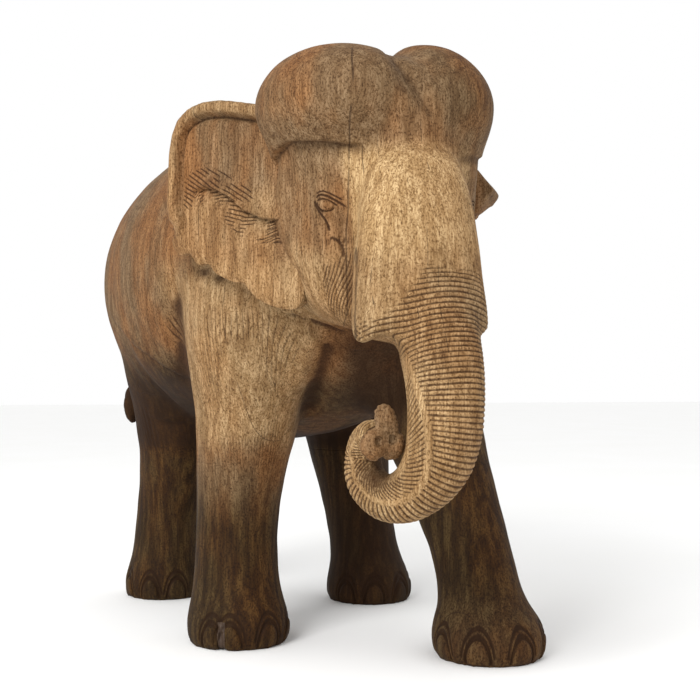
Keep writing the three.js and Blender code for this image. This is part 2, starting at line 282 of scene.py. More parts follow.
def applied(obj):
    """The object with its modifiers made real."""
    bpy.context.view_layer.update()
    graph = bpy.context.evaluated_depsgraph_get()
    mesh = bpy.data.meshes.new_from_object(obj.evaluated_get(graph))
    obj.modifiers.clear()
    old = obj.data
    obj.data = mesh
    bpy.data.meshes.remove(old)
    return obj


def remeshed(obj, voxel):
    m = obj.modifiers.new("skin", "REMESH")
    m.mode = "VOXEL"
    m.voxel_size = voxel * MM
    return applied(obj)


def halved(mesh_obj, wanted):
    """Splits the faces whose corners are all wanted into four."""
    bm = bmesh.new()
    bm.from_mesh(mesh_obj.data)
    bm.verts.ensure_lookup_table()
    edges = [e for e in bm.edges if wanted[e.verts[0].index] and wanted[e.verts[1].index]]
    bmesh.ops.subdivide_edges(bm, edges=edges, cuts=1, use_grid_fill=True)
    bm.to_mesh(mesh_obj.data)
    bm.free()
    mesh_obj.data.update()


def cut_box(obj, low, high, operation):
    """Keeps (INTERSECT) or removes (DIFFERENCE) what lies in a box of the layout."""
    low, high = packed(low), packed(high)
    bm = bmesh.new()
    bmesh.ops.create_cube(bm, size=1)
    bmesh.ops.scale(bm, verts=bm.verts, vec=Vector(high - low))
    bmesh.ops.translate(bm, verts=bm.verts, vec=Vector((high + low) / 2))
    cutter = finished(bm, "cutter")
    m = obj.modifiers.new("cut", "BOOLEAN")
    m.operation = operation
    m.solver = "MANIFOLD"
    m.object = cutter
    applied(obj)
    bpy.data.objects.remove(cutter)
    return obj


def cut_by(obj, other, operation="DIFFERENCE"):
    m = obj.modifiers.new("cut", "BOOLEAN")
    m.operation = operation
    m.solver = "MANIFOLD"
    m.object = other
    return applied(obj)


def largest_only(obj):
    """Drops the chips that a cut leaves beside the piece."""
    edges = edges_of(obj.data)
    label = np.arange(len(obj.data.vertices))
    while True:
        low = np.minimum(label[edges[:, 0]], label[edges[:, 1]])
        fresh = label.copy()
        np.minimum.at(fresh, edges[:, 0], low)
        np.minimum.at(fresh, edges[:, 1], low)
        fresh = fresh[fresh]
        if (fresh == label).all():
            break
        label = fresh
    body = np.bincount(label).argmax()
    bm = bmesh.new()
    bm.from_mesh(obj.data)
    bmesh.ops.delete(bm, geom=[v for v in bm.verts if label[v.index] != body], context="VERTS")
    bmesh.ops.triangulate(bm, faces=[f for f in bm.faces if len(f.verts) > 4])
    bm.to_mesh(obj.data)
    bm.free()
    return obj


# ---------------------------------------------------------------- the trunk's run

# The middle of the trunk, from its root down and round the curl to its tip.
TRUNK_RUN = [
    (-34, -470, 700), (-32, -500, 640), (-30, -545, 560), (-26, -580, 500), (-23, -603, 430),
    (-25, -608, 370), (-34, -600, 321), (-55, -575, 284), (-78, -540, 272), (-97, -508, 295),
    (-98, -502, 334), (-98, -530, 356), (-98, -556, 356),
]
# The way that the trunk's upper face looks, from the root to the tip.
TRUNK_FACES = [
    (0, -1, 0), (0, -1, 0), (0, -1, -0.5), (0.3, -0.6, -1),
    (0, 0.2, -1), (-0.6, 0.6, -0.4), (-0.4, 0.6, 0.7), (0, 0, 1),
]
RUN_STEPS = 420
AT_ONCE = 4000  # points measured together, to spare memory


def trunk_coordinates(P):
    """Distance along the trunk, and the angle round it from its upper face, in millimetres and radians."""
    run = curve_points(TRUNK_RUN, RUN_STEPS)
    ahead = np.gradient(run, axis=0)
    length = measured(run)
    ahead /= np.linalg.norm(ahead, axis=1)[:, None]
    facing = curve_points(TRUNK_FACES, RUN_STEPS)
    facing -= (facing * ahead).sum(1)[:, None] * ahead
    facing /= np.linalg.norm(facing, axis=1)[:, None]
    sideways = np.cross(ahead, facing)
    nearest = np.empty(len(P), int)
    for k in range(0, len(P), AT_ONCE):
        d = ((P[k : k + AT_ONCE, None, :] - run[None]) ** 2).sum(2)
        nearest[k : k + AT_ONCE] = d.argmin(1)
    off = P - run[nearest]
    s = length[nearest] + (off * ahead[nearest]).sum(1)
    angle = np.arctan2((off * sideways[nearest]).sum(1), (off * facing[nearest]).sum(1))
    return s, angle, np.linalg.norm(off, axis=1)


# ---------------------------------------------------------------- the carved block

# The middle of each foot.
LEG_CENTRES = {
    "front_right": (-162, -107),
    "front_left": (178, -355),
    "rear_right": (-183, 363),
    "rear_left": (190, 163),
}
BLOCKS = ("torso", "head", "trunk", *(f"{place}_leg" for place in LEG_CENTRES))
# Forms that fill the grooves for the ears before the skin is made: centre and radii.
FILLERS = [((-14, -315, 690), (164, 127, 178)), ((-28, -345, 690), (152, 160, 170))]


def mirrored(P):
    """Points of the head as seen from its right side, whichever side they are on."""
    Q = P.copy()
    Q[:, 0] = MIDLINE - np.abs(P[:, 0] - MIDLINE)
    return Q


def blocked_out():
    """One skin over all the blocks, smoothed where the carver rounded it."""
    bm = copied(BLOCKS, grow=0.5 * MM)
    for centre, radii in FILLERS:
        place = Matrix.LocRotScale(Vector(packed(centre)), None, Vector(radii) * MM)
        bmesh.ops.create_icosphere(bm, subdivisions=4, radius=1, matrix=place)
    block = remeshed(finished(bm, "block"), sizes().skin_voxel / MM)
    P, _ = read(block.data)
    edges = edges_of(block.data)
    sole = step(P[:, 2], 6, 30)
    slender = 1 - step(P[:, 2], 330, 420)
    free_trunk = step(-P[:, 1], 480, 520) * (1 - step(P[:, 2], 500, 560)) * step(P[:, 2], 225, 235)
    flare = modelled(P, [(1, (MIDLINE + side, -560, 500), (45, 70, 45)) for side in (-98, 86)])
    brow = band(P[:, 2], 735, 790, 20) * step(-P[:, 1], 360, 400)
    strong = sole * (1 - 0.9 * slender) * (1 - 0.92 * free_trunk) * (1 - 0.85 * np.clip(flare, 0, 1))
    P = relax(P, edges, strong * (1 - 0.55 * brow), 34)
    P = relax(P, edges, sole * (1 - 0.6 * np.clip(flare, 0, 1)), 3)
    write(block.data, P)
    return block


# ---------------------------------------------------------------- large forms, cut with a gouge

EYE = np.array([-137.0, -463.0, 680.0])
EYE_ALONG = np.array([0.644, -0.765, 0.0])  # along the cheek towards the trunk
# Between the cheek and the root of the trunk, from the eye down.
CHEEK_LINE = [(-127, -472, 690), (-122, -482, 640), (-118, -488, 600), (-113, -490, 555), (-104, -478, 519)]
# Lumps are a height, a centre and the radii. These are on both sides of the head, given for the right.
TEMPLE_LUMPS = [
    (-5, (-165, -440, 735), (50, 50, 26)),
    (4, tuple(EYE), (26, 26, 18)),
]
CHEEK_LUMPS = [
    (-6, (-112, -470, 640), (26, 40, 34)),
    (-4, (-118, -478, 590), (22, 40, 50)),
    (5, (-160, -420, 610), (40, 50, 50)),
]
LUMPS = [
    # the trunk's root, the cleft between the two domes, and the left dome
    (7, (-124, -545, 605), (18, 45, 80)),
    (12, (-128, -572, 500), (15, 24, 16)),
    (-7, (-92, -555, 474), (22, 26, 14)),
    (-13, (MIDLINE + 2, -400, 935), (17, 120, 60)),
    (8, (20, -450, 915), (60, 80, 45)),
    (9, (92, -452, 712), (40, 60, 50)),
    # the right shoulder, the chest, and the left hip
    (5, (-200, -150, 560), (60, 80, 130)),
    (-8, (0, -300, 440), (60, 60, 60)),
    (10, (272, 130, 370), (50, 50, 70)),
]
# Ridges and grooves are a height, a width and a path.
LINES = [
    # the cleft, down the forehead
    (-9, 12, [(-45, -440, 914), (-60, -520, 880), (-42, -549, 845), (-20, -552, 808), (4, -545, 775)]),
    # behind the right front leg
    (-11, 24, [(-268, -105, 650), (-262, -90, 569), (-256, -70, 521), (-246, -35, 471), (-228, 20, 410)]),
    # the chest is cut back beside the right front leg, which keeps an edge there
    (-15, 20, [(-66, -305, 530), (-70, -292, 490), (-72, -268, 452), (-66, -215, 415), (-50, -130, 372)]),
    (6, 13, [(-97, -312, 530), (-100, -300, 490), (-100, -275, 450), (-95, -225, 405)]),
    # behind the left front leg, and in front of both thighs
    (-8, 26, [(235, -50, 640), (225, -30, 520), (190, -60, 400), (150, -80, 340)]),
    (-7, 24, [(-290, 170, 560), (-250, 185, 440), (-190, 200, 350)]),
    (-7, 24, [(290, 120, 560), (250, 130, 440), (190, 140, 350)]),
    # the hollows on both sides of the spine
    (-4, 40, [(70, -100, 900), (80, 150, 915), (70, 380, 830)]),
    (-4, 40, [(-70, -100, 900), (-80, 150, 915), (-70, 380, 830)]),
]
SPINE = [(0, -200, 890), (0, 0, 925), (0, 200, 930), (0, 380, 860), (0, 470, 700)]


def forms(P):
    """How far the large forms stand out from the blocked-out skin, in millimetres."""
    Q = mirrored(P)
    head = step(-P[:, 1], 330, 370) * step(P[:, 2], 470, 500)
    out = modelled(Q, TEMPLE_LUMPS) + modelled(Q, CHEEK_LUMPS) * head + modelled(P, LUMPS, LINES)
    out += 6 * crease(P, SPINE, 30, 0.1) - 9 * crease(Q, CHEEK_LINE, 9, 0.25)
    out += 1.6 * rough(P, 95, 3.1) + 0.8 * rough(P, 38, 7.7)
    return out * step(P[:, 2], 4, 40)


# Lines that wood hangs over: the right brow, the crease under the jaw, the belly and the right thigh.
BROW = [
    (-200, -335, 748), (-192, -385, 766), (-182, -432, 772),
    (-153, -477, 766), (-125, -502, 761), (-85, -527, 757),
]
THROAT = [(-150, -292, 542), (-129, -302, 537), (-105, -312, 530), (-76, -322, 519), (-50, -335, 506)]
BELLY = [
    (-330, 240, 585), (-318, 190, 549), (-294, 103, 499),
    (-269, 49, 474), (-240, 5, 445), (-222, -60, 425),
]
THIGH = [(-215, 290, 372), (-200, 225, 356), (-205, 80, 350), (-215, 0, 352)]
# Small hollows scooped under the edge of the right ear.
EAR_SCOOPS = [(-246, -178, 610), (-232, -222, 598), (-202, -278, 574)]


def ledge(P, path, rise, fall, reach):
    """Wood that stands out by rise above a line, and is cut back by fall below it."""
    path = np.array(path, float)
    gap, place = along_path(P, path)
    lengths = measured(path)
    above = P[:, 2] - np.interp(place * lengths[-1], lengths, path[:, 2])
    ends = step(place, 0, 0.12) * (1 - step(place, 0.75, 1))
    over = step(above, -3.5, 3.5)
    above = rise * over * np.exp(-((gap / reach) ** 2))
    below = fall * (1 - over) * np.exp(-gap / reach * 1.4)
    return ends * (above - below)


def ledges(P):
    """The undercut brows, and the creases under the jaw and the belly and over the thigh."""
    Q = mirrored(P)
    head = step(-P[:, 1], 320, 345)
    near_side = 1 - 0.6 * step(P[:, 0] - MIDLINE, -20, 20)
    out = head * near_side * ledge(Q, BROW, 3.5, 10, 30)
    for path, rise, fall, reach in ((THROAT, 4, 7, 14), (BELLY, 5, 9, 30), (THIGH, 3, 6, 18)):
        out += ledge(P, path, rise, fall, reach)
    return out + modelled(P, [(-9, centre, (14, 22, 9)) for centre in EAR_SCOOPS])


# ---------------------------------------------------------------- the eye

# Lines round the right eye: along the cheek towards the trunk, then up, from the eye's middle.
EYE_LINES = [
    ([(-15, 6), (-11, 9.5), (-4, 9.6), (4, 6.5), (11, 2.5), (19, -3)], 1.2, 1.7),
    ([(-18, 10), (-14, 14.5), (-8, 16), (2, 13), (14.6, 6), (25, -1), (33, -6)], 1.3, 1.9),
    ([(-19, 16), (-12, 20), (-4, 20.5), (6, 16.5), (18, 10), (30, 3)], 1.2, 1.3),
    ([(-18, 11), (-18, 4), (-14.6, -2.5), (-8.5, -12), (-2.5, -20), (1.5, -29), (3, -40)], 1.4, 1.9),
    ([(-15, 7), (-13.5, 1), (-9.7, -4.3), (-3, -12)], 1.1, 1.3),
    ([(-12, -2), (-7, -6.5), (0, -8.2), (7, -7.2), (14, -3)], 1.1, 1.5),
    ([(2, -47), (7, -46), (12, -48), (17, -53), (21, -62), (23, -76)], 1.4, 1.6),
]


def eye_carving(P):
    """The eyeball and the lines of its lids, on both sides of the head."""
    Q = mirrored(P)
    close = np.linalg.norm(Q - EYE, axis=1) < 90
    out = np.zeros(len(P))
    q = Q[close] - EYE
    flat = np.stack([q @ EYE_ALONG, q[:, 2], 0 * q[:, 2]], axis=1)
    ball = 1 - (flat[:, 0] / 11.5) ** 2 - ((flat[:, 1] + 0.12 * flat[:, 0]) / 7.6) ** 2
    carved = 3.0 * np.sqrt(np.clip(ball, 0, 1))
    carved -= 1.0 * np.exp(-(((np.hypot(flat[:, 0] - 0.5, flat[:, 1]) - 4.2) / 0.9) ** 2))
    for line, width, depth in EYE_LINES:
        path = [(x, y, 0) for x, y in line]
        gap, place = along_path(flat, path)
        fade = step(place, 0, 0.12) * (1 - step(place, 0.8, 1))
        carved -= 1.25 * depth * np.exp(-((gap / (1.15 * width)) ** 2)) * fade
    out[close] = carved
    return out


# ---------------------------------------------------------------- tooled lines


def groove(phase, sharp=3.0):
    """A V-gouge's cut across its line: 1 on the line, once for each whole phase."""
    return (0.5 + 0.5 * np.cos(2 * np.pi * phase)) ** sharp


RINGS_START = 180  # millimetres down the trunk's run, on its left; they start later on its right
ROOT_ENDS = 275  # the rings go all round the root, but only over the upper face further down
SIDE_RIDGE = 1.5  # radians round the trunk from the middle of its upper face
NO_RINGS = 680


def trunk_rings(P):
    """Rings across the upper face, slanted cuts below the side ridges, and the ridges between."""
    out = np.zeros(len(P))
    pitch = sizes().ring_pitch / MM
    depth = sizes().ring_depth / MM
    mine = (P[:, 1] < -470) & (P[:, 2] < 640) & (P[:, 2] > 225) & (np.abs(P[:, 0] - MIDLINE) < 135)
    p = P[mine]
    s, angle, reach = trunk_coordinates(p)
    wobble = 0.25 * rough(p, 60, 1.3)
    side = np.abs(angle)
    start = RINGS_START + 42 * step(p[:, 0] - MIDLINE, -20, -90) + 14 * rough(p, 30, 9.0)
    started = step(s, start - 18, start + 4)
    root = 1 - step(s, ROOT_ENDS - 20, ROOT_ENDS)
    upper = (1 - step(side, SIDE_RIDGE - 0.18, SIDE_RIDGE - 0.08)) * (1 - root) + root
    ridge = np.exp(-(((side - SIDE_RIDGE) / 0.085) ** 2))
    ridge *= step(s, ROOT_ENDS - 7, ROOT_ENDS + 25) * (1 - step(s, NO_RINGS - 40, NO_RINGS))
    slant = s / (pitch * 1.15) - (side - SIDE_RIDGE) * 5.0
    lower = band(side, SIDE_RIDGE + 0.12, SIDE_RIDGE + 0.75, 0.12) * step(s, ROOT_ENDS, ROOT_ENDS + 25)
    carved = -1.25 * depth * groove(s / pitch + wobble, 1.7) * upper
    carved += 1.4 * ridge - 1.2 * depth * groove(slant + wobble, 1.7) * lower
    keep = 0.75 + 0.25 * rough(p, 24, 4.0)
    out[mine] = carved * started * np.clip(keep, 0.3, 1) * (1 - step(reach, 70, 110) * (1 - root))
    return out


# Where skin lines run down each leg: the leg's middle, from and to which heights, the noise's seed, and
# how many times the usual distance apart they are.
SKIN_LINES = [
    ((-148, -125), (300, 590), 0.0, 1.0),
    ((122, -190), (300, 590), 5.0, 2.2),
    ((-170, 320), (290, 480), 9.0, 2.2),
    ((172, 240), (290, 480), 13.0, 2.2),
]
LEG_RADIUS = 100
SKIN_REACH = 175  # from the leg's middle


def skin_share(P, place):
    """How strongly a leg's skin lines are cut at each point: they come in patches and fade at the ends."""
    (x, y), (low, high), seed, _ = place
    outward = (P[:, 0] - x) * np.sign(x)
    patches = step(rough(P / (1, 1, 2), 62, seed + 2), -0.18, 0.16)
    near_leg = 1 - step(np.hypot(P[:, 0] - x, P[:, 1] - y), SKIN_REACH - 20, SKIN_REACH)
    return patches * near_leg * band(P[:, 2], low + 10, high - 60, 45) * step(outward, -70, -20)


def leg_lines(P):
    """Fine upright skin lines over the shoulders and thighs, from a V-gouge run down the leg."""
    out = np.zeros(len(P))
    for place in SKIN_LINES:
        (x, y), (low, high), seed, wide = place
        beside = np.hypot(P[:, 0] - x, P[:, 1] - y) < SKIN_REACH
        mine = beside & (P[:, 2] > low - 30) & (P[:, 2] < high + 40)
        p = P[mine]
        angle = np.arctan2(p[:, 1] - y, p[:, 0] - x)
        lean = 1.6 * (p[:, 2] - low) / 260
        pitch = wide * sizes().gouge_pitch / MM
        phase = angle * LEG_RADIUS / pitch + 1.2 * rough(p / (1, 1, 3), 45, seed) + lean
        out[mine] -= sizes().gouge_depth / MM * groove(phase, 2.5) * skin_share(p, place)
    return out


def cheek_lines(P):
    """Gouge lines running down the hollow of the cheek beside the trunk."""
    Q = mirrored(P)
    out = np.zeros(len(P))
    mine = (Q[:, 2] < 650) & (Q[:, 2] > 480) & (Q[:, 1] < -400) & (Q[:, 0] > -180)
    q = Q[mine]
    u = (q - EYE) @ EYE_ALONG
    phase = (u + 0.35 * (650 - q[:, 2]) * step(650 - q[:, 2], 0, 160)) / 5.6 + 0.5 * rough(q, 40, 2.0)
    reach = band(u, -4, 46, 9) * band(q[:, 2], 505, 628, 14)
    out[mine] = -1.2 * groove(phase, 2.5) * reach * step(rough(q, 40, 6.0), -0.5, -0.1)
    return out


# Where the middle of each toenail stands round its foot, in degrees from straight ahead.
NAILS = {
    "front_right": (-47, -25, 20, 62),
    "front_left": (-85, -40, 8, 55),
    "rear_right": (-80, -34, 4, 48),
    "rear_left": (-55, -15, 26, 70),
}
FOOT_RADIUS = 90
NAIL_RISE = 1.4
# The arcs over a nail: how far out in nail radii, depth in millimetres, and width in nail radii.
INNER_ARC = (1.0, 3.4, 0.11)
OUTER_ARC = (1.32, 2.4, 0.09)


def nail_carving(P):
    """Two arcs over each toenail, and the nail a little proud inside them."""
    out = np.zeros(len(P))
    half = sizes().nail_width / MM / 2
    top = sizes().nail_height / MM
    for foot, turns in NAILS.items():
        x, y = LEG_CENTRES[foot]
        mine = (P[:, 2] < 70) & (np.hypot(P[:, 0] - x, P[:, 1] - y) < 125)
        p = P[mine]
        carved = np.zeros(len(p))
        for turn in turns:
            angle = np.degrees(np.arctan2(p[:, 0] - x, -(p[:, 1] - y)))
            across = np.radians((angle - turn + 180) % 360 - 180) * FOOT_RADIUS
            reach = np.hypot(across / half, (p[:, 2] - 2) / top)
            inner, outer = (
                deep * np.exp(-(((reach - at) / wide) ** 2)) for at, deep, wide in (INNER_ARC, OUTER_ARC)
            )
            nail = NAIL_RISE * (1 - step(reach, 0.75, 0.98))
            carved += (nail - inner - outer * step(p[:, 2], 8, 16)) * (np.abs(across) < 40)
        out[mine] = carved * step(p[:, 2], 1, 5)
    return out


def tooling(P):
    """Every fine cut over the block, in millimetres along the surface normal."""
    return eye_carving(P) + trunk_rings(P) + leg_lines(P) + cheek_lines(P) + nail_carving(P)


def worth_halving(P, level):
    """Where the skin needs closer vertices for the tooling."""
    Q = mirrored(P)
    head = (P[:, 1] < NECK_JOINT + 6) & (P[:, 2] > TRUNK_JOINT - 40) & (P[:, 2] < 800)
    trunk = (P[:, 1] < -455) & (P[:, 2] < 560) & (P[:, 2] > 225) & (np.abs(P[:, 0] - MIDLINE) < 130)
    feet = P[:, 2] < 305
    if level == 1:
        lined = np.zeros(len(P), bool)
        for place in SKIN_LINES:
            lined |= skin_share(P, place) > 0.12
        return head | trunk | feet | lined
    rings = trunk | ((P[:, 1] < -520) & (P[:, 2] < 620) & (P[:, 2] > 400))
    eye = np.linalg.norm(Q - EYE, axis=1) < 52
    cheek = (Q[:, 2] < 645) & (Q[:, 2] > 495) & ((Q - EYE) @ EYE_ALONG > -14) & (P[:, 1] < -400)
    nails = (P[:, 2] < 62) & (P[:, 2] > 0.5)
    if level == 2:
        return rings | eye | cheek | nails | (skin_share(P, SKIN_LINES[0]) > 0.18)
    return np.linalg.norm(Q - EYE, axis=1) < 36


def carved_block():
    """The whole figure in one skin, with its large forms and its tooling."""
    block = blocked_out()
    P, N = read(block.data)
    P += N * forms(P)[:, None]
    # the lower corner of the trunk's root is drawn down to a point
    P[:, 2] -= 15 * near(P, (-130, -572, 500), (17, 28, 15))
    write(block.data, P)
    for level in (1, 2, 3):
        P, _ = read(block.data)
        wanted = worth_halving(P, level)
        halved(block, wanted)
        P, _ = read(block.data)
        fresh = worth_halving(P, level).astype(float) * step(P[:, 2], 1, 8)
        write(block.data, relax(P, edges_of(block.data), fresh, 3))
        if level == 1:
            P, N = read(block.data)
            write(block.data, P + N * ledges(P)[:, None])
    P, N = read(block.data)
    write(block.data, P + N * tooling(P)[:, None])
    return block


_block = []


def whole_block():
    """The carved block, made once."""
    if not _block:
        _block.append(carved_block())
    return _block[0]


def block_piece(name, *cuts):
    """A copy of the carved block, cut to a piece by boxes of the layout."""
    obj = bpy.data.objects.new(name + "_carved", whole_block().data.copy())
    bpy.context.scene.collection.objects.link(obj)
    for low, high, operation in cuts:
        cut_box(obj, low, high, operation)
    return largest_only(obj)


# ---------------------------------------------------------------- ears

# An ear's edge: along the ear from its root, then up.
EAR_EDGE = [
    (-66, 640), (-62, 700), (-52, 780), (-30, 838), (30, 853), (78, 864), (118, 868), (154, 862), (180, 848),
    (194, 826), (200, 796), (202, 757), (203, 712), (199, 690),
    (190, 679), (194, 668), (203, 658), (196, 643),
    (183, 633), (170, 634), (156, 633), (140, 615), (128, 616), (114, 614), (100, 600), (80, 590), (60, 583),
    (42, 580), (30, 566), (12, 553), (-6, 545), (-30, 539), (-53, 540), (-66, 566),
]
EAR_SEAT = {"right": ((-185, -345), (-292, -165), -1), "left": ((131, -345), (226, -165), 1)}
EAR_BACK = -12.0
EAR_FRONT = 8.0
EAR_BOW = 8.0
EAR_LENGTH = 209.0
RIM_WIDTH = 24.0
RIM_RISE = 9.0
# The crease under the fold in the middle of the ear, from its back end to the cheek.
FOLD = [
    (153, 704), (151, 722), (140, 732), (119, 734), (87, 724),
    (59, 706), (39, 690), (8, 676), (-22, 671), (-60, 674),
]
LEFT_NUB = ((186, -288, 748), (36, 52, 43))  # the corner that stands out in front of the left ear
HAIR_DEPTH = 1.5
# Lumps of the ear's front: height, centre and radii, along the ear, then up.
EAR_LUMPS = [
    (3, (150, 690, 0), (45, 40, 1)),
    (-5, (-35, 620, 0), (26, 70, 1)),
    (-3, (35, 775, 0), (34, 60, 1)),
    (2.5, (95, 790, 0), (45, 40, 1)),
]


def ear_frame(side):
    """An ear's root, its direction backwards and its outward direction."""
    root, back, hand = EAR_SEAT[side]
    along = np.array(back, float) - root
    along /= np.linalg.norm(along)
    return np.array([*root, 0.0]), np.array([*along, 0.0]), np.array([along[1] * hand, -along[0] * hand, 0.0])


def ear_coordinates(P, side):
    """Distance along the ear, height, and how far out from its middle plane."""
    root, along, out = ear_frame(side)
    return (P - root) @ along, P[:, 2], (P - root) @ out


def on_plane(u, z):
    return np.stack([u, z, 0 * u], axis=1)


def inside_edge(flat):
    """Distance inwards from the ear's edge."""
    return along_path(flat, [(x, y, 0) for x, y in EAR_EDGE + EAR_EDGE[:1]])[0]


def ear_forms(P, side):
    """The rolled rim, the fold and the hollows of the ear's front."""
    u, z, _ = ear_coordinates(P, side)
    flat = on_plane(u, z)
    inset = inside_edge(flat)
    rimmed = step(z + 0.12 * u, 676, 716) * step(u, -70, -40)
    roll = np.clip(1 - (2 * inset / RIM_WIDTH - 1) ** 2, 0, 1) ** 0.5
    out = rimmed * (3.0 * (1 - step(inset, RIM_WIDTH - 3, RIM_WIDTH)) + RIM_RISE * roll)
    out -= rimmed * 6.0 * np.exp(-(((inset - RIM_WIDTH - 1) / 5.0) ** 2))
    # the fold: the ear hangs over its line and is hollow below it
    fold_line = np.array(FOLD[2:])[::-1]
    above = z - np.interp(u, fold_line[:, 0], fold_line[:, 1])
    span = band(u, -64, 128, 22)
    over = step(above, -1.2, 1.2)
    out += span * over * 6.0 * np.exp(-((np.clip(above, 0, None) / 24) ** 2))
    out -= span * (1 - over) * 8.0 * np.exp(-np.clip(-above, 0, None) / 17)
    out -= 3.5 * crease(flat, [(x, y, 0) for x, y in FOLD[:4]], 6, 0.25)
    out += modelled(flat, EAR_LUMPS) - 2.5 * (1 - rimmed) * (1 - step(inset, 0, 16))
    return out + 1.2 * rough(P, 60, 5.5) + 0.5 * rough(P, 22, 8.5)


def ear_hair(P, side):
    """Fine cuts across the fold, above it and below it, and a fan of them at the cheek."""
    u, z, _ = ear_coordinates(P, side)
    flat = on_plane(u, z)
    fold_path = [(x, y, 0) for x, y in FOLD]
    gap, place = along_path(flat, fold_path)
    t = place * measured(np.array(FOLD, float))[-1]
    fold_line = np.array(FOLD[2:])[::-1]
    above = z - np.interp(u, fold_line[:, 0], fold_line[:, 1])
    upper = (above > 0) | (u > 146)
    pitch = sizes().gouge_pitch / MM
    wander = 0.35 * rough(P, 26, 4.4)
    over = groove((0.51 * u - 0.86 * z) / pitch + wander, 2.0)
    over *= (
        band(gap, 3, 27, 9) * band(t, 2, 150, 14) * step(rough(P, 24, 3.3), -0.42, -0.1) * step(z, 694, 710)
    )
    under = groove((gap * 1.05 + 0.42 * t) / pitch + wander, 2.5)
    wide = 22 + 12 * step(t, 60, 160)
    under *= band(gap, 3, wide, 8) * band(t, 30, 235, 14) * step(rough(P, 24, 6.3), -0.35, 0.0)
    fan = groove((t + 1.9 * gap) / (pitch * 1.3) + wander, 2.5) * band(gap, 5, 32, 8) * band(t, 195, 245, 12)
    free = (1 - np.clip(2 * near(P, LEFT_NUB[0], (60, 70, 50)), 0, 1)) * (1 - step(u, 164, 172))
    return -HAIR_DEPTH * free * np.where(upper, over, np.maximum(under, fan))


def carved_ear(side):
    """A leaf of wood with its edge cut to shape, worked on its front, and fitted round the block."""
    root, along, out = ear_frame(side)
    bm = bmesh.new()
    corners = curve_points([*EAR_EDGE, EAR_EDGE[0]], 150)[:-1]
    ring = [bm.verts.new(packed(root + along * u + out * EAR_BACK + (0, 0, z))) for u, z in corners]
    leaf = bm.faces.new(ring)
    grown = bmesh.ops.extrude_face_region(bm, geom=[leaf])["geom"]
    rise = Vector(out * (EAR_FRONT - EAR_BACK) * MM)
    bmesh.ops.translate(bm, verts=[v for v in grown if isinstance(v, bmesh.types.BMVert)], vec=rise)
    bmesh.ops.recalc_face_normals(bm, faces=bm.faces)
    if side == "left":
        centre, radii = LEFT_NUB
        turn = Matrix.Rotation(math.atan2(-along[0], along[1]), 4, "Z")
        place = Matrix.Translation(packed(centre)) @ turn @ Matrix.Diagonal((*(Vector(radii) * MM), 1))
        bmesh.ops.create_cube(bm, size=math.sqrt(2), matrix=place @ Matrix.Rotation(math.pi / 4, 4, "Y"))
    ear = remeshed(finished(bm, f"ear_{side}"), sizes().ear_voxel / MM)
    P, _ = read(ear.data)
    edges = edges_of(ear.data)
    P = relax(P, edges, 1.0, 2)
    if side == "left":
        centre, radii = LEFT_NUB
        nub = near(P, centre, np.array(radii) * 1.1)
        P = relax(P, edges, np.clip(1.4 * nub, 0, 1), 8)
    u, _, w = ear_coordinates(P, side)
    P += out * (EAR_BOW * np.sin(np.pi * np.clip(u / EAR_LENGTH, -0.4, 1)))[:, None]
    write(ear.data, P)
    for level in (1, 2):
        P, N = read(ear.data)
        front = N @ out > 0.1
        wanted = front if level == 1 else front & (near_fold(P, side) < 62)
        halved(ear, wanted)
        if level == 1:
            P, N = read(ear.data)
            facing = step(N @ out, 0.15, 0.7)
            P += out * (ear_forms(P, side) * facing)[:, None]
            write(ear.data, relax(P, edges_of(ear.data), 0.35 * facing, 1))
    P, N = read(ear.data)
    facing = step(N @ out, 0.15, 0.7)
    write(ear.data, P + N * (ear_hair(P, side) * facing)[:, None])
    return cut_by(ear, whole_block())


def near_fold(P, side):
    u, z, _ = ear_coordinates(P, side)
    return along_path(on_plane(u, z), [(x, y, 0) for x, y in FOLD])[0]


# ---------------------------------------------------------------- tail and trunk tip

TAIL_RUN = [
    (0, 440, 742), (-4, 478, 704), (-22, 496, 640), (-66, 498, 570),
    (-132, 486, 505), (-196, 462, 452), (-230, 444, 405), (-238, 434, 350),
]
NOSTRILS = [(-108, -592, 352), (-93, -596, 352)]
TIP_LUMPS = [
    *((-13, nostril, (6, 14, 6)) for nostril in NOSTRILS),
    (3, (-116, -590, 342), (9, 14, 9)),
    (2, (-84, -592, 345), (8, 14, 10)),
    (3, (-88, -585, 400), (10, 20, 10)),
]


def tail_strands(P):
    """Rings down the tail, and strands over its tuft."""
    run = curve_points(TAIL_RUN, 120)
    nearest = ((P[:, None, :] - run[None]) ** 2).sum(2).argmin(1)
    s = measured(run)[nearest]
    off = P - run[nearest]
    angle = np.arctan2(off[:, 2], off[:, 1] + 0.6 * off[:, 0])
    tuft = step(s, 330, 370)
    strands = groove(angle * 16 / (2 * np.pi) + 0.4 * rough(P, 40, 2.2), 2.0)
    rings = groove(s / 14 + 0.3 * rough(P, 30, 1.2), 4.0)
    return -1.8 * tuft * strands - 0.8 * (1 - tuft) * rings


def carved_copy(node, voxel, rounds, forms_of, cuts_of):
    """A CAD piece given a fine skin, rounded, shaped and tooled."""
    obj = remeshed(finished(copied([node], grow=0.4 * MM), node), voxel)
    P, _ = read(obj.data)
    write(obj.data, relax(P, edges_of(obj.data), 1.0, rounds))
    for change in (forms_of, cuts_of):
        P, N = read(obj.data)
        write(obj.data, P + N * change(P)[:, None])
    return obj


def tip_knobs(P):
    """The knuckled folds at the end of the trunk."""
    out = 2.8 * rough(P, 17, 2.8) + 1.4 * rough(P, 8, 5.1)
    out += modelled(P, TIP_LUMPS, [(-2.5, 4, [(-92, -600, 398), (-98, -602, 372)])])
    return out * step(-P[:, 1], 558, 566)


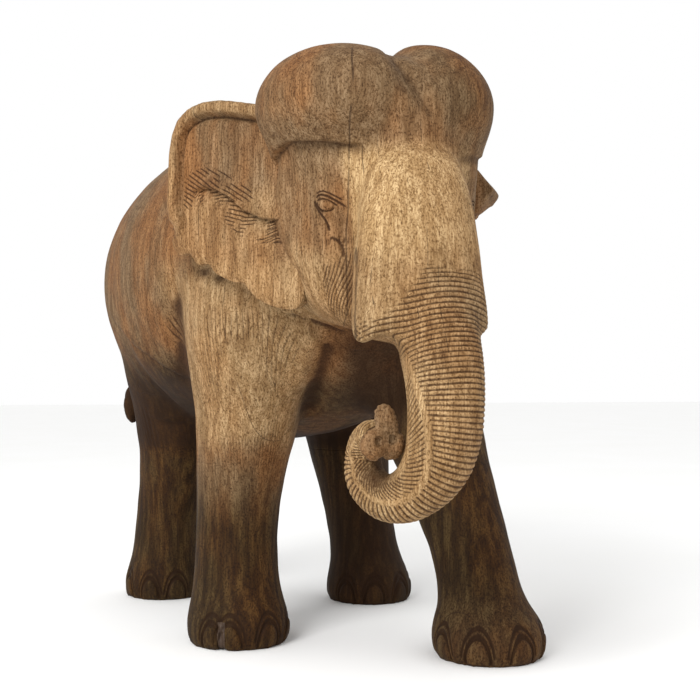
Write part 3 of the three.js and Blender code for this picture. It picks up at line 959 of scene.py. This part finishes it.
def tip_wrinkles(P):
    """Knife cuts round the nostrils and over the finger."""
    lines = groove(P[:, 2] / 6.5 + 0.8 * rough(P, 16, 9.9), 3.0)
    return -1.5 * lines * step(-P[:, 1], 560, 568)


# ---------------------------------------------------------------- the repaired foot

# The strip's bearing from the foot's middle in degrees, its width, and what it spans upwards and outwards.
WEDGE = {"turn": -125, "width": 12.0, "low": 0.6, "high": 46.0, "inner": 62.0, "outer": 120.0}


def wedge_block(clearance=0.0):
    """The strip let into the front right foot, from its sole upwards."""
    bm = bmesh.new()
    bmesh.ops.create_cube(bm, size=1)
    size = (WEDGE["width"] + 2 * clearance, WEDGE["outer"] - WEDGE["inner"], WEDGE["high"] - WEDGE["low"])
    bmesh.ops.scale(bm, verts=bm.verts, vec=Vector(size) * MM)
    bmesh.ops.translate(bm, verts=bm.verts, vec=Vector((0, -(WEDGE["outer"] + WEDGE["inner"]) / 2, 0)) * MM)
    bmesh.ops.rotate(bm, verts=bm.verts, matrix=Matrix.Rotation(math.radians(WEDGE["turn"] + 90), 3, "Z"))
    middle = (*LEG_CENTRES["front_right"], (WEDGE["high"] + WEDGE["low"]) / 2)
    bmesh.ops.translate(bm, verts=bm.verts, vec=Vector(packed(middle)))
    return finished(bm, "wedge")


FAR = 2000.0
GLUE = 0.05  # the visible joints are tight
BORE_CLEARANCE = 0.3
HEAD_BOX = ((-FAR, -FAR, TRUNK_JOINT + GLUE), (FAR, NECK_JOINT, FAR))
TRUNK_BOX = ((-FAR, -FAR, -FAR), (FAR, TRUNK_BACK, TRUNK_JOINT))
CURL_BOX = ((-130, -FAR, 225), (60, TRUNK_BACK - 1, TRUNK_JOINT))
LEG_REACH = ((-120, -125), (120, 165))  # what a leg spans round the middle of its foot
LEG_PEGS = [f"{place}_leg_peg_{k}" for place in LEG_CENTRES for k in (1, 2)]
NECK_PEGS = ["neck_peg_1", "neck_peg_2"]
TRUNK_PEGS = ["trunk_peg_1", "trunk_peg_2"]
# Studio lights: name, place in metres, power in watts, width in metres.
SOFT_BOXES = (("key", (-2.6, -2.2, 2.6), 120, 1.6),)
WORLD_STRENGTH = 1.0
CAMERA_LENS = 56.57
CAMERA_PLACE = (-683, -1908, 420)
CAMERA_TURN = -21.9  # degrees from straight along the elephant
CAMERA_LIFT = 2.08  # degrees above level


# ---------------------------------------------------------------- where the wood is pale or damp, and where light and shade are painted


# Painted shade where the surface is sheltered from the light: how much, a centre and the radii.
SHADE_SPOTS = [
    # the right nostril and the left, and the inside of the curl
    (1, (-108, -590, 352), (6, 14, 6)),
    (1, (-93, -594, 352), (6, 14, 6)),
    (0.9, (-96, -548, 306), (26, 45, 24)),
    # the chest, and the mouth under the trunk's root
    (0.9, (28, -270, 425), (50, 110, 80)),
    (0.9, (48, -285, 440), (26, 60, 50)),
    (0.35, (0, -300, 480), (60, 60, 40)),
    (0.8, (-30, -400, 492), (70, 90, 30)),
    # the left hind leg
    (1, (190, 163, 60), (140, 140, 260)),
]
# Lines of painted shade: how much, a width and a path.
SHADE_LINES = [
    # in the cleft of the forehead, under the jaw, and behind the right front leg
    (0.6, 12, [(-74, -535, 880), (-66, -552, 850), (-56, -548, 815)]),
    (0.8, 4, [(x, y, z - 3) for x, y, z in THROAT]),
    (0.75, 24, [(-268, -95, 600), (-258, -75, 521), (-246, -35, 471), (-228, 40, 410)]),
]
# Painted shadow under the brow.
BROW_SHADOW = [(x, y, z - 9) for x, y, z in BROW[1:]]


def painted_shade_share(obj, P, N, cuts):
    """How much painted shade each point gets: in the cuts, in what the surface hides, and in sheltered
    places.
    """
    sunk = ((relax(P, edges_of(obj.data), 1.0, 14) - P) * N).sum(1)
    out = np.clip((-cuts - 0.25) / 1.1, 0, 1) + 0.8 * np.clip(sunk / 3.5, 0, 1)
    out += modelled(P, SHADE_SPOTS, SHADE_LINES)
    # painted shade on the chest beside the front legs
    leg_side_shade = step(P[:, 0], -84, -76) * (1 - step(P[:, 0], 30, 90)) * step(-P[:, 1], 150, 230)
    out += 0.25 * leg_side_shade * (P[:, 2] < 530) * (P[:, 1] > -380)
    Q = mirrored(P)
    # painted shade on the cheek beside the trunk's root, under the brows, and along the crease between them
    out += modelled(Q, [(0.25, (-125, -470, 580), (30, 40, 60))], [(0.55, 7, BROW_SHADOW)])
    out += 0.55 * crease(Q, CHEEK_LINE, 11, 0.25)
    # painted shade under the belly
    under = (1 - step(P[:, 2] + 0.3 * P[:, 1] * (P[:, 1] < 0), 400, 500)) * step(P[:, 2], 290, 320)
    out += 0.75 * under * step(P[:, 1], -60, 20)
    # painted shade under the curl of the trunk
    if obj.name.startswith("trunk"):
        s, angle, _ = trunk_coordinates(P)
        out += 0.6 * step(np.abs(angle), 2.25, 2.7) * step(s, 520, 600) * (1 - step(P[:, 2], 330, 370))
    return out


def pale_and_lit_share(obj, P, trunk, wander):
    """How pale the wood is: the trunk, its root and the ear's rim most, the shoulder and cheek less. The
    trunk and its root are pale wood and painted light; the paler right side that faces the key light, the
    shoulders and the right ear's lobe are painted light.
    """
    front = step(-P[:, 1], 478, 500) * (1 - step(np.abs(P[:, 0] - MIDLINE), 88, 112))
    root = front * (1 - step(P[:, 2] + 0.35 * wander, 738, 775))
    out = root * (1 - 0.45 * step(-(P[:, 2] + 0.5 * wander), -640, -560))
    out = np.maximum(out, 0.75 * trunk)
    # painted light: the right side, which faces the key light, is left paler than the left
    out *= 0.7 + 0.3 * step(MIDLINE - P[:, 0], -40, 70)
    cheek = step(-P[:, 1], 380, 420) * band(P[:, 2], 520, 740, 30) * (1 - root)
    # painted light on the upper front legs
    level = band(P[:, 2] + wander, 350, 600, 50)
    shoulder = level * step(-P[:, 1], 30, 110) * step(np.abs(P[:, 0] - 5), 70, 120)
    # painted light on the lower lobe of the right ear, on the lit side
    lobe = (1 - step(P[:, 0], -190, -170)) * step(-P[:, 1], 150, 170) * band(P[:, 2], 540, 700, 40)
    out = np.max([out, 0.05 * cheek, 0.5 * shoulder, 0.3 * lobe], axis=0)
    if obj.name.startswith("ear"):
        u, z, _ = ear_coordinates(P, "right")
        rim = 1 - step(inside_edge(on_plane(u, z)), RIM_WIDTH - 8, RIM_WIDTH)
        out = np.maximum(out, 0.38 * rim * step(z, 690, 730))
    return out


def damp_and_shade_share(P, trunk, wander):
    """How far the wood is darkened: up the legs by damp and painted shade, under the belly and between the
    legs by painted shade, with darker domes and back and painted shade on the left dome.
    """
    # up the legs: damp with painted shade, highest on the hind legs and the far front leg
    hind = P[:, 1] > 40
    level = np.where(hind, 470, 285) + np.where((P[:, 0] > 40) & ~hind, 150, 0)
    legs = 1 - step(P[:, 2] + wander, level - 100, level + 60)
    # painted shade under the belly and between the front legs
    belly = (1 - step(P[:, 2] + 0.5 * wander, 430, 560)) * step(P[:, 1], -60, 60)
    between = (1 - step(np.abs(P[:, 0] - 5), 60, 90)) * (1 - step(P[:, 2] + wander, 400, 470))
    out = np.max([legs, belly, 0.7 * between], axis=0) * (1 - trunk)
    # painted shade on the left dome, which faces away from the light; the domes and the back a little darker
    left_dome_shade = 0.42 * step(P[:, 2], 770, 830) * step(P[:, 0], -50, 40)
    domes = 0.16 * step(P[:, 2], 790, 850) * step(-P[:, 1], 300, 320)
    out = np.max([out, left_dome_shade, domes + 0.14 * step(P[:, 1], -120, 0)], axis=0)
    return out * (1 - 0.3 * near(P, (178, -370, 30), (110, 110, 60)))


def paint(obj, cuts):
    """Marks each point with how much painted shade it gets, how pale it is with painted light, and how far
    damp and painted shade darken it.

    cuts is how far the tooling at each point sinks, in millimetres.
    """
    P, N = read(obj.data)
    wander = 26 * rough(P / (1, 1, 2.0), 70, 8.8)
    trunk = step(-P[:, 1], 455, 470) * (1 - step(P[:, 2], 440, 470))
    channels = [painted_shade_share(obj, P, N, cuts), pale_and_lit_share(obj, P, trunk, wander), damp_and_shade_share(P, trunk, wander)]
    tone = obj.data.attributes.new("tone", "FLOAT_VECTOR", "POINT")
    tone.data.foreach_set("vector", np.clip(np.stack(channels, axis=1), 0, 1).ravel())


# ---------------------------------------------------------------- materials

MEAN_RADIUS = 0.2  # metres from the pith to the carved surface, on average
PITH = (-0.03, -0.1, 0)  # where the log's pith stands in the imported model, in metres
MATH = "ShaderNodeMath"
NOISE = "ShaderNodeTexNoise"
MIX = "ShaderNodeMix"
TINTED = {"data_type": "RGBA"}
SHADED = {"data_type": "RGBA", "blend_type": "MULTIPLY"}
SUM = {"operation": "MULTIPLY_ADD"}
PRODUCT = {"operation": "MULTIPLY"}
ALONG = {"noise_dimensions": "1D"}
RANGE = "ShaderNodeMapRange"
SMOOTH = {"interpolation_type": "SMOOTHSTEP"}
# Which output of a node is used, where it isn't the first.
USED = {MIX: 2, "ShaderNodeTexCoord": 3, "ShaderNodeAttribute": 1, "ShaderNodeVectorMath": 1}


def add(tree, kind, settings=(), **links):
    """Adds a node and gives its output. Links are inputs by name or number, each a value or an output."""
    node = tree.nodes.new(kind)
    for key, value in dict(settings).items():
        setattr(node, key, value)
    for key, value in links.items():
        socket = node.inputs[int(key[1:])] if key[0] == "_" else node.inputs[key.replace("_", " ")]
        if isinstance(value, bpy.types.NodeSocket):
            tree.links.new(value, socket)
        else:
            socket.default_value = value
    return node.outputs[USED.get(kind, 0)] if node.outputs else None


def empty_material(name):
    """A new material, its tree, and the place of each point in the model."""
    material = bpy.data.materials.new(name)
    material.use_nodes = True
    tree = material.node_tree
    tree.nodes.clear()
    return material, tree, add(tree, "ShaderNodeTexCoord")


def streaks(tree, place, across, along, **noise_settings):
    """Noise drawn out along the upright grain. Sizes are in metres."""
    stretched = add(tree, "ShaderNodeMapping", Vector=place, Scale=(1 / across, 1 / across, 1 / along))
    return add(tree, NOISE, Vector=stretched, Scale=1.0, **noise_settings)


def shaded(tree, wood, layers):
    """The wood darkened by layers: a pattern, where it starts and ends, how much at most, and a colour."""
    for pattern, low, high, most, colour in layers:
        share = add(tree, RANGE, SMOOTH, Value=pattern, From_Min=low, From_Max=high, To_Max=most)
        wood = add(tree, MIX, SHADED, _0=share, _6=wood, _7=linear(colour))
    return wood


def surfaced(tree, wood, fibre, relief, bumps, roughness, **surface):
    """A wood's shader. Bumps are a depth in metres and a strength; the roughness follows the fibres."""
    bump = add(tree, "ShaderNodeBump", Height=relief, Distance=bumps[0], Strength=bumps[1])
    low, high = roughness
    dull = add(tree, RANGE, Value=fibre, From_Min=0.3, From_Max=0.7, To_Min=low, To_Max=high)
    shader = add(tree, "ShaderNodeBsdfPrincipled", Base_Color=wood, Roughness=dull, Normal=bump, **surface)
    add(tree, "ShaderNodeOutputMaterial", Surface=shader)


def drying_cracks(tree, place, flat, bend):
    """Upright cracks that run out from the pith, open only here and there: 1 in a crack."""
    size = sizes()
    x, y, _ = add(tree, "ShaderNodeSeparateXYZ", Vector=flat).node.outputs
    turn = add(tree, MATH, {"operation": "ARCTAN2"}, _0=y, _1=x)
    cracks = []
    for apart, sway, low in ((size.crack_apart, 0.15, 0.43), (size.check_apart, 0.25, 0.58)):
        arc = add(tree, MATH, SUM, _0=bend, _1=sway, _2=turn)
        spoke = add(tree, MATH, PRODUCT, _0=arc, _1=MEAN_RADIUS / apart)
        shift = add(tree, NOISE, ALONG, W=spoke, Scale=0.6, Detail=0.0)
        uneven = add(tree, MATH, SUM, _0=shift, _1=2.2, _2=spoke)
        part = add(tree, MATH, {"operation": "PINGPONG"}, _0=uneven, _1=0.5)
        edge = size.crack_width / apart
        line = add(tree, RANGE, SMOOTH, Value=part, From_Min=edge, From_Max=edge * 0.4)
        patch = streaks(tree, place, apart * 0.8, 0.1, Detail=1.0)
        here = add(tree, RANGE, SMOOTH, Value=patch, From_Min=low, From_Max=low + 0.07)
        cracks.append(add(tree, MATH, PRODUCT, _0=line, _1=here))
    return add(tree, MATH, {"operation": "MAXIMUM"}, _0=cracks[0], _1=cracks[1])


def weathered_teak():
    """Teak, cut with gouges and never varnished, after years out of doors.

    Sun greys it and leaves the fibres standing, so it is dull and finely streaked up and down. The
    late wood of the growth rings is darker. Painted shade darkens the cuts and sheltered hollows,
    damp and painted shade darken the legs and the belly, and long cracks follow the grain where the
    log dried.
    """
    material, tree, place = empty_material("weathered_teak")
    size, hue = sizes(), colours()
    tone = add(tree, "ShaderNodeAttribute", {"attribute_name": "tone"})
    painted_shade, pale_and_lit, damp_and_shade = add(tree, "ShaderNodeSeparateXYZ", Vector=tone).node.outputs
    # large soft changes, fibres, ticks in the grain, and a fine stipple
    cloud = streaks(tree, place, 0.11, 0.24, Detail=3.0, Roughness=0.6)
    fibre = streaks(tree, place, size.fibre_width, size.fibre_length, Detail=4.0, Roughness=0.65)
    broad = streaks(tree, place, size.fibre_width * 5, size.fibre_length * 2.4, Detail=3.0, Roughness=0.55)
    tick = streaks(tree, place, size.fibre_width * 0.7, size.fibre_length * 0.16, Detail=2.0, Roughness=0.5)
    stipple = streaks(tree, place, 0.0028, 0.0034, Detail=2.0, Roughness=0.7)
    # growth rings stand round an upright pith, bent by the tree's own wandering
    bend = streaks(tree, place, 0.16, 0.5, Detail=2.0, Roughness=0.5)
    off_pith = tuple(-c for c in PITH)
    flat = add(tree, "ShaderNodeMapping", Vector=place, Location=off_pith, Scale=(1, 1, 0.07))
    length = add(tree, "ShaderNodeVectorMath", {"operation": "LENGTH"}, _0=flat)
    bent = add(tree, MATH, SUM, _0=bend, _1=0.22, _2=length)
    count = add(tree, MATH, {"operation": "DIVIDE"}, _0=bent, _1=size.growth_ring)
    late = add(tree, NOISE, ALONG, W=count, Scale=1.0, Detail=1.0)
    ring = add(tree, RANGE, SMOOTH, Value=late, From_Min=0.56, From_Max=0.66)
    # dust dims the cracks a little
    crack = add(tree, MATH, PRODUCT, _0=drying_cracks(tree, place, flat, bend), _1=0.6)
    # colour, from the sound wood outwards
    greyed = add(tree, RANGE, SMOOTH, Value=cloud, From_Min=0.36, From_Max=0.62)
    wood = add(tree, MIX, TINTED, _0=greyed, _6=hue.heartwood, _7=hue.weathered)
    # pale sapwood, and painted light on the lit side, the shoulders and the ear's lobe
    wood = add(tree, MIX, TINTED, _0=pale_and_lit, _6=wood, _7=hue.pale_and_lit_wood)
    layers = [
        (broad, 0.66, 0.38, 1.0, "#ddd5ca"),
        (fibre, 0.64, 0.34, 1.0, "#c8bdae"),
        (ring, 0.0, 1.0, 0.3, "#b3a08a"),
        (tick, 0.58, 0.7, 0.75, "#9a8368"),
        (stipple, 0.48, 0.66, 0.8, "#9d8b72"),
    ]
    wood = shaded(tree, wood, layers)
    # damp and painted shade darken the wood
    darkened_wood = add(tree, MIX, SHADED, _0=1.0, _6=wood, _7=hue.damp_and_shade)
    darkened_wood = shaded(tree, darkened_wood, [(broad, 0.62, 0.38, 1.0, "#cfc6ba")])
    wood = add(tree, MIX, TINTED, _0=damp_and_shade, _6=wood, _7=darkened_wood)
    # painted shade: the cuts and sheltered hollows darkened with the shade colour
    shaded_wood = add(tree, MIX, SHADED, _0=0.75, _6=hue.painted_shade, _7=wood)
    shade_share = add(tree, RANGE, SMOOTH, Value=painted_shade, From_Min=0.1, From_Max=1.0, To_Max=0.85)
    wood = add(tree, MIX, TINTED, _0=shade_share, _6=wood, _7=shaded_wood)
    wood = add(tree, MIX, TINTED, _0=crack, _6=wood, _7=hue.crack)
    # relief: standing fibres and stipple, and open cracks, up to half a millimetre deep
    relief = add(tree, MATH, SUM, _0=stipple, _1=0.5, _2=fibre)
    relief = add(tree, MATH, SUM, _0=crack, _1=-2.0, _2=relief)
    # dust and open fibres scatter the light, so the surface reflects less than smooth wood
    surfaced(tree, wood, fibre, relief, (0.0005, 0.9), (0.72, 0.86), Specular_IOR_Level=0.15)
    return material


def turned_wood(name, colour):
    """A straight-grained hardwood, turned or sawn and left bare: fine even fibres and a dull surface."""
    material, tree, place = empty_material(name)
    fibre = streaks(tree, place, 0.0012, 0.05, Detail=4.0, Roughness=0.6)
    cloud = streaks(tree, place, 0.02, 0.08, Detail=2.0)
    dark = add(tree, MIX, SHADED, _0=1.0, _6=colour, _7=linear("#a8947c"))
    light = add(tree, RANGE, SMOOTH, Value=fibre, From_Min=0.3, From_Max=0.7)
    wood = add(tree, MIX, TINTED, _0=light, _6=dark, _7=colour)
    wood = shaded(tree, wood, [(cloud, 0.4, 0.7, 0.5, "#c2ae96")])
    surfaced(tree, wood, fibre, fibre, (0.0002, 0.6), (0.6, 0.75))
    return material


def painted_floor():
    """A matt painted studio floor: nearly white, with the faintest unevenness of rolled paint."""
    material, tree, place = empty_material("matt_studio_paint")
    cloud = streaks(tree, place, 0.6, 0.6, Detail=2.0)
    paler = add(tree, MIX, TINTED, _0=cloud, _6=colours().floor, _7=linear("#fafafa"))
    shader = add(tree, "ShaderNodeBsdfPrincipled", Base_Color=paler, Roughness=0.9)
    add(tree, "ShaderNodeOutputMaterial", Surface=shader)
    return material


# ---------------------------------------------------------------- operators


def only_material(obj, material):
    obj.data.materials.clear()
    obj.data.materials.append(material)


def finish_of(name, make, *values):
    """The finish of that name, made the first time it is asked for."""
    return bpy.data.materials.get(name) or make(*values)


def hand_over(obj, node, cuts, material=None):
    """Names a finished piece, paints it, and gives it its CAD node's place in the model."""
    obj.name = node + "_carved"
    if not material:
        paint(obj, cuts(read(obj.data)[0]))
    only_material(obj, material or finish_of("weathered_teak", weathered_teak))
    obj.data.polygons.foreach_set("use_smooth", [True] * len(obj.data.polygons))
    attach(obj, "root")
    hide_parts(node)


def drilled(obj, names):
    """The piece with the bores of its pegs."""
    bores = finished(copied(names, grow=BORE_CLEARANCE * MM), "bores")
    cut_by(obj, bores)
    bpy.data.objects.remove(bores)
    return obj


class ELEPHANT_OT_torso(bpy.types.Operator):
    """Cuts the torso from the carved block"""

    bl_idname = "elephant.torso"
    bl_label = "Torso"

    def execute(self, context):
        torso = block_piece(
            "torso",
            ((-FAR, -FAR, LEG_JOINT), (FAR, FAR, FAR), "INTERSECT"),
            ((-FAR, -FAR, TRUNK_JOINT), (FAR, NECK_JOINT + GLUE, FAR), "DIFFERENCE"),
            ((-FAR, -FAR, 200), (FAR, TRUNK_BACK, TRUNK_JOINT + 1), "DIFFERENCE"),
        )
        drilled(torso, [*LEG_PEGS, *NECK_PEGS])
        hand_over(torso, "torso", tooling)
        return {"FINISHED"}


class ELEPHANT_OT_head(bpy.types.Operator):
    """Cuts the head, with the root of the trunk, from the carved block"""

    bl_idname = "elephant.head"
    bl_label = "Head"

    def execute(self, context):
        head = block_piece("head", (*HEAD_BOX, "INTERSECT"))
        drilled(head, [*NECK_PEGS, *TRUNK_PEGS])
        hand_over(head, "head", tooling)
        return {"FINISHED"}


class ELEPHANT_OT_trunk(bpy.types.Operator):
    """Cuts the curled trunk from the carved block"""

    bl_idname = "elephant.trunk"
    bl_label = "Trunk"

    def execute(self, context):
        trunk = block_piece("trunk", (*TRUNK_BOX, "INTERSECT"), (*CURL_BOX, "INTERSECT"))
        drilled(trunk, [*TRUNK_PEGS, "trunk_tip_peg"])
        hand_over(trunk, "trunk", tooling)
        return {"FINISHED"}


class ELEPHANT_OT_trunk_tip(bpy.types.Operator):
    """Carves the knuckled end of the trunk, with its finger and its nostrils"""

    bl_idname = "elephant.trunk_tip"
    bl_label = "Trunk tip"

    def execute(self, context):
        tip = carved_copy("trunk_tip", sizes().small_voxel / MM, 3, tip_knobs, tip_wrinkles)
        cut_by(tip, bpy.data.objects["trunk_carved"])
        drilled(largest_only(tip), ["trunk_tip_peg"])
        hand_over(tip, "trunk_tip", tip_wrinkles)
        return {"FINISHED"}


class ELEPHANT_OT_ears(bpy.types.Operator):
    """Cuts and carves the two ears, and fits them round the head"""

    bl_idname = "elephant.ears"
    bl_label = "Ears"

    def execute(self, context):
        for side in EAR_SEAT:
            ear = largest_only(carved_ear(side))
            hand_over(ear, f"ear_{side}", lambda P, side=side: ear_hair(P, side))
        return {"FINISHED"}


class ELEPHANT_OT_tail(bpy.types.Operator):
    """Carves the tail and its tuft, and fits them to the rump"""

    bl_idname = "elephant.tail"
    bl_label = "Tail"

    def execute(self, context):
        voxel = 1.4 * sizes().small_voxel / MM
        tail = carved_copy("tail", voxel, 4, lambda P: 0.8 * rough(P, 24, 1.7), tail_strands)
        cut_by(tail, whole_block())
        hand_over(largest_only(tail), "tail", tail_strands)
        return {"FINISHED"}


class ELEPHANT_OT_legs(bpy.types.Operator):
    """Cuts the four lower legs from the carved block, and lets the filler strip into the cracked foot"""

    bl_idname = "elephant.legs"
    bl_label = "Legs and filler strip"

    def execute(self, context):
        for place, (x, y) in LEG_CENTRES.items():
            low, high = ((x + across, y + along) for across, along in LEG_REACH)
            low, high = (*low, -10), (*high, LEG_JOINT - GLUE)
            leg = block_piece(f"{place}_leg", (low, high, "INTERSECT"))
            if place == "front_right":
                strip = wedge_block()
                cut_by(strip, leg, "INTERSECT")
                slot = wedge_block(GLUE)
                cut_by(leg, slot)
                bpy.data.objects.remove(slot)
                filler = finish_of("sawn_filler_strip", turned_wood, "sawn_filler_strip", colours().filler)
                hand_over(strip, "foot_crack_wedge", None, filler)
            drilled(leg, [name for name in LEG_PEGS if name.startswith(place)])
            hand_over(leg, f"{place}_leg", tooling)
        return {"FINISHED"}


class ELEPHANT_OT_pegs(bpy.types.Operator):
    """Gives the pegs inside the joints their wood"""

    bl_idname = "elephant.pegs"
    bl_label = "Pegs"

    def execute(self, context):
        wood = finish_of("turned_beech_peg", turned_wood, "turned_beech_peg", colours().peg)
        for name in (*LEG_PEGS, *NECK_PEGS, *TRUNK_PEGS, "trunk_tip_peg"):
            only_material(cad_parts[name], wood)
        return {"FINISHED"}


class ELEPHANT_OT_stage(bpy.types.Operator):
    """Sets the floor, the lights and the camera"""

    bl_idname = "elephant.stage"
    bl_label = "Stage"

    def execute(self, context):
        scene = context.scene
        bm = bmesh.new()
        bmesh.ops.create_grid(bm, x_segments=1, y_segments=1, size=30)
        floor = finished(bm, "floor")
        floor.data.materials.append(painted_floor())
        world = bpy.data.worlds.new("studio")
        world.use_nodes = True
        world.node_tree.nodes["Background"].inputs["Color"].default_value = (1, 1, 1, 1)
        world.node_tree.nodes["Background"].inputs["Strength"].default_value = WORLD_STRENGTH
        scene.world = world
        for name, at, watts, width in SOFT_BOXES:
            light = bpy.data.lights.new(name, "AREA")
            light.energy = watts
            light.size = width
            lamp = bpy.data.objects.new(name, light)
            lamp.location = at
            lamp.rotation_euler = (Vector((0, 0, 0.5)) - lamp.location).to_track_quat("-Z", "Y").to_euler()
            scene.collection.objects.link(lamp)
        lens = bpy.data.cameras.new("camera")
        lens.lens = CAMERA_LENS
        camera = bpy.data.objects.new("camera", lens)
        camera.location = packed(CAMERA_PLACE)
        camera.rotation_euler = (math.radians(90 + CAMERA_LIFT), 0, math.radians(CAMERA_TURN))
        scene.collection.objects.link(camera)
        scene.camera = camera
        scene.view_settings.view_transform = "Standard"
        return {"FINISHED"}


PIECES = (
    ELEPHANT_OT_torso,
    ELEPHANT_OT_head,
    ELEPHANT_OT_trunk,
    ELEPHANT_OT_trunk_tip,
    ELEPHANT_OT_ears,
    ELEPHANT_OT_tail,
    ELEPHANT_OT_legs,
    ELEPHANT_OT_pegs,
    ELEPHANT_OT_stage,
)


class ELEPHANT_PT_panel(bpy.types.Panel):
    """Sizes, colours and pieces of the elephant"""

    bl_idname = "ELEPHANT_PT_panel"
    bl_label = "Carved elephant"
    bl_space_type = "VIEW_3D"
    bl_region_type = "UI"
    bl_category = "Elephant"

    def draw(self, context):
        for title, group in (("Sizes", sizes()), ("Colours", colours())):
            box = self.layout.box()
            box.label(text=title)
            for name in group.__annotations__:
                box.prop(group, name)
        column = self.layout.column(align=True)
        for item in PIECES:
            column.operator(item.bl_idname)


CLASSES = (ElephantSizes, ElephantColours, *PIECES, ELEPHANT_PT_panel)


def register():
    for item in CLASSES:
        bpy.utils.register_class(item)
    bpy.types.Scene.elephant_sizes = PointerProperty(type=ElephantSizes)
    bpy.types.Scene.elephant_colours = PointerProperty(type=ElephantColours)


def unregister():
    del bpy.types.Scene.elephant_colours
    del bpy.types.Scene.elephant_sizes
    for item in reversed(CLASSES):
        bpy.utils.unregister_class(item)


def main():
    register()
    for item in PIECES:
        group, name = item.bl_idname.split(".")
        getattr(getattr(bpy.ops, group), name)()
    bpy.data.objects.remove(_block.pop())


if __name__ == "__main__":
    main()
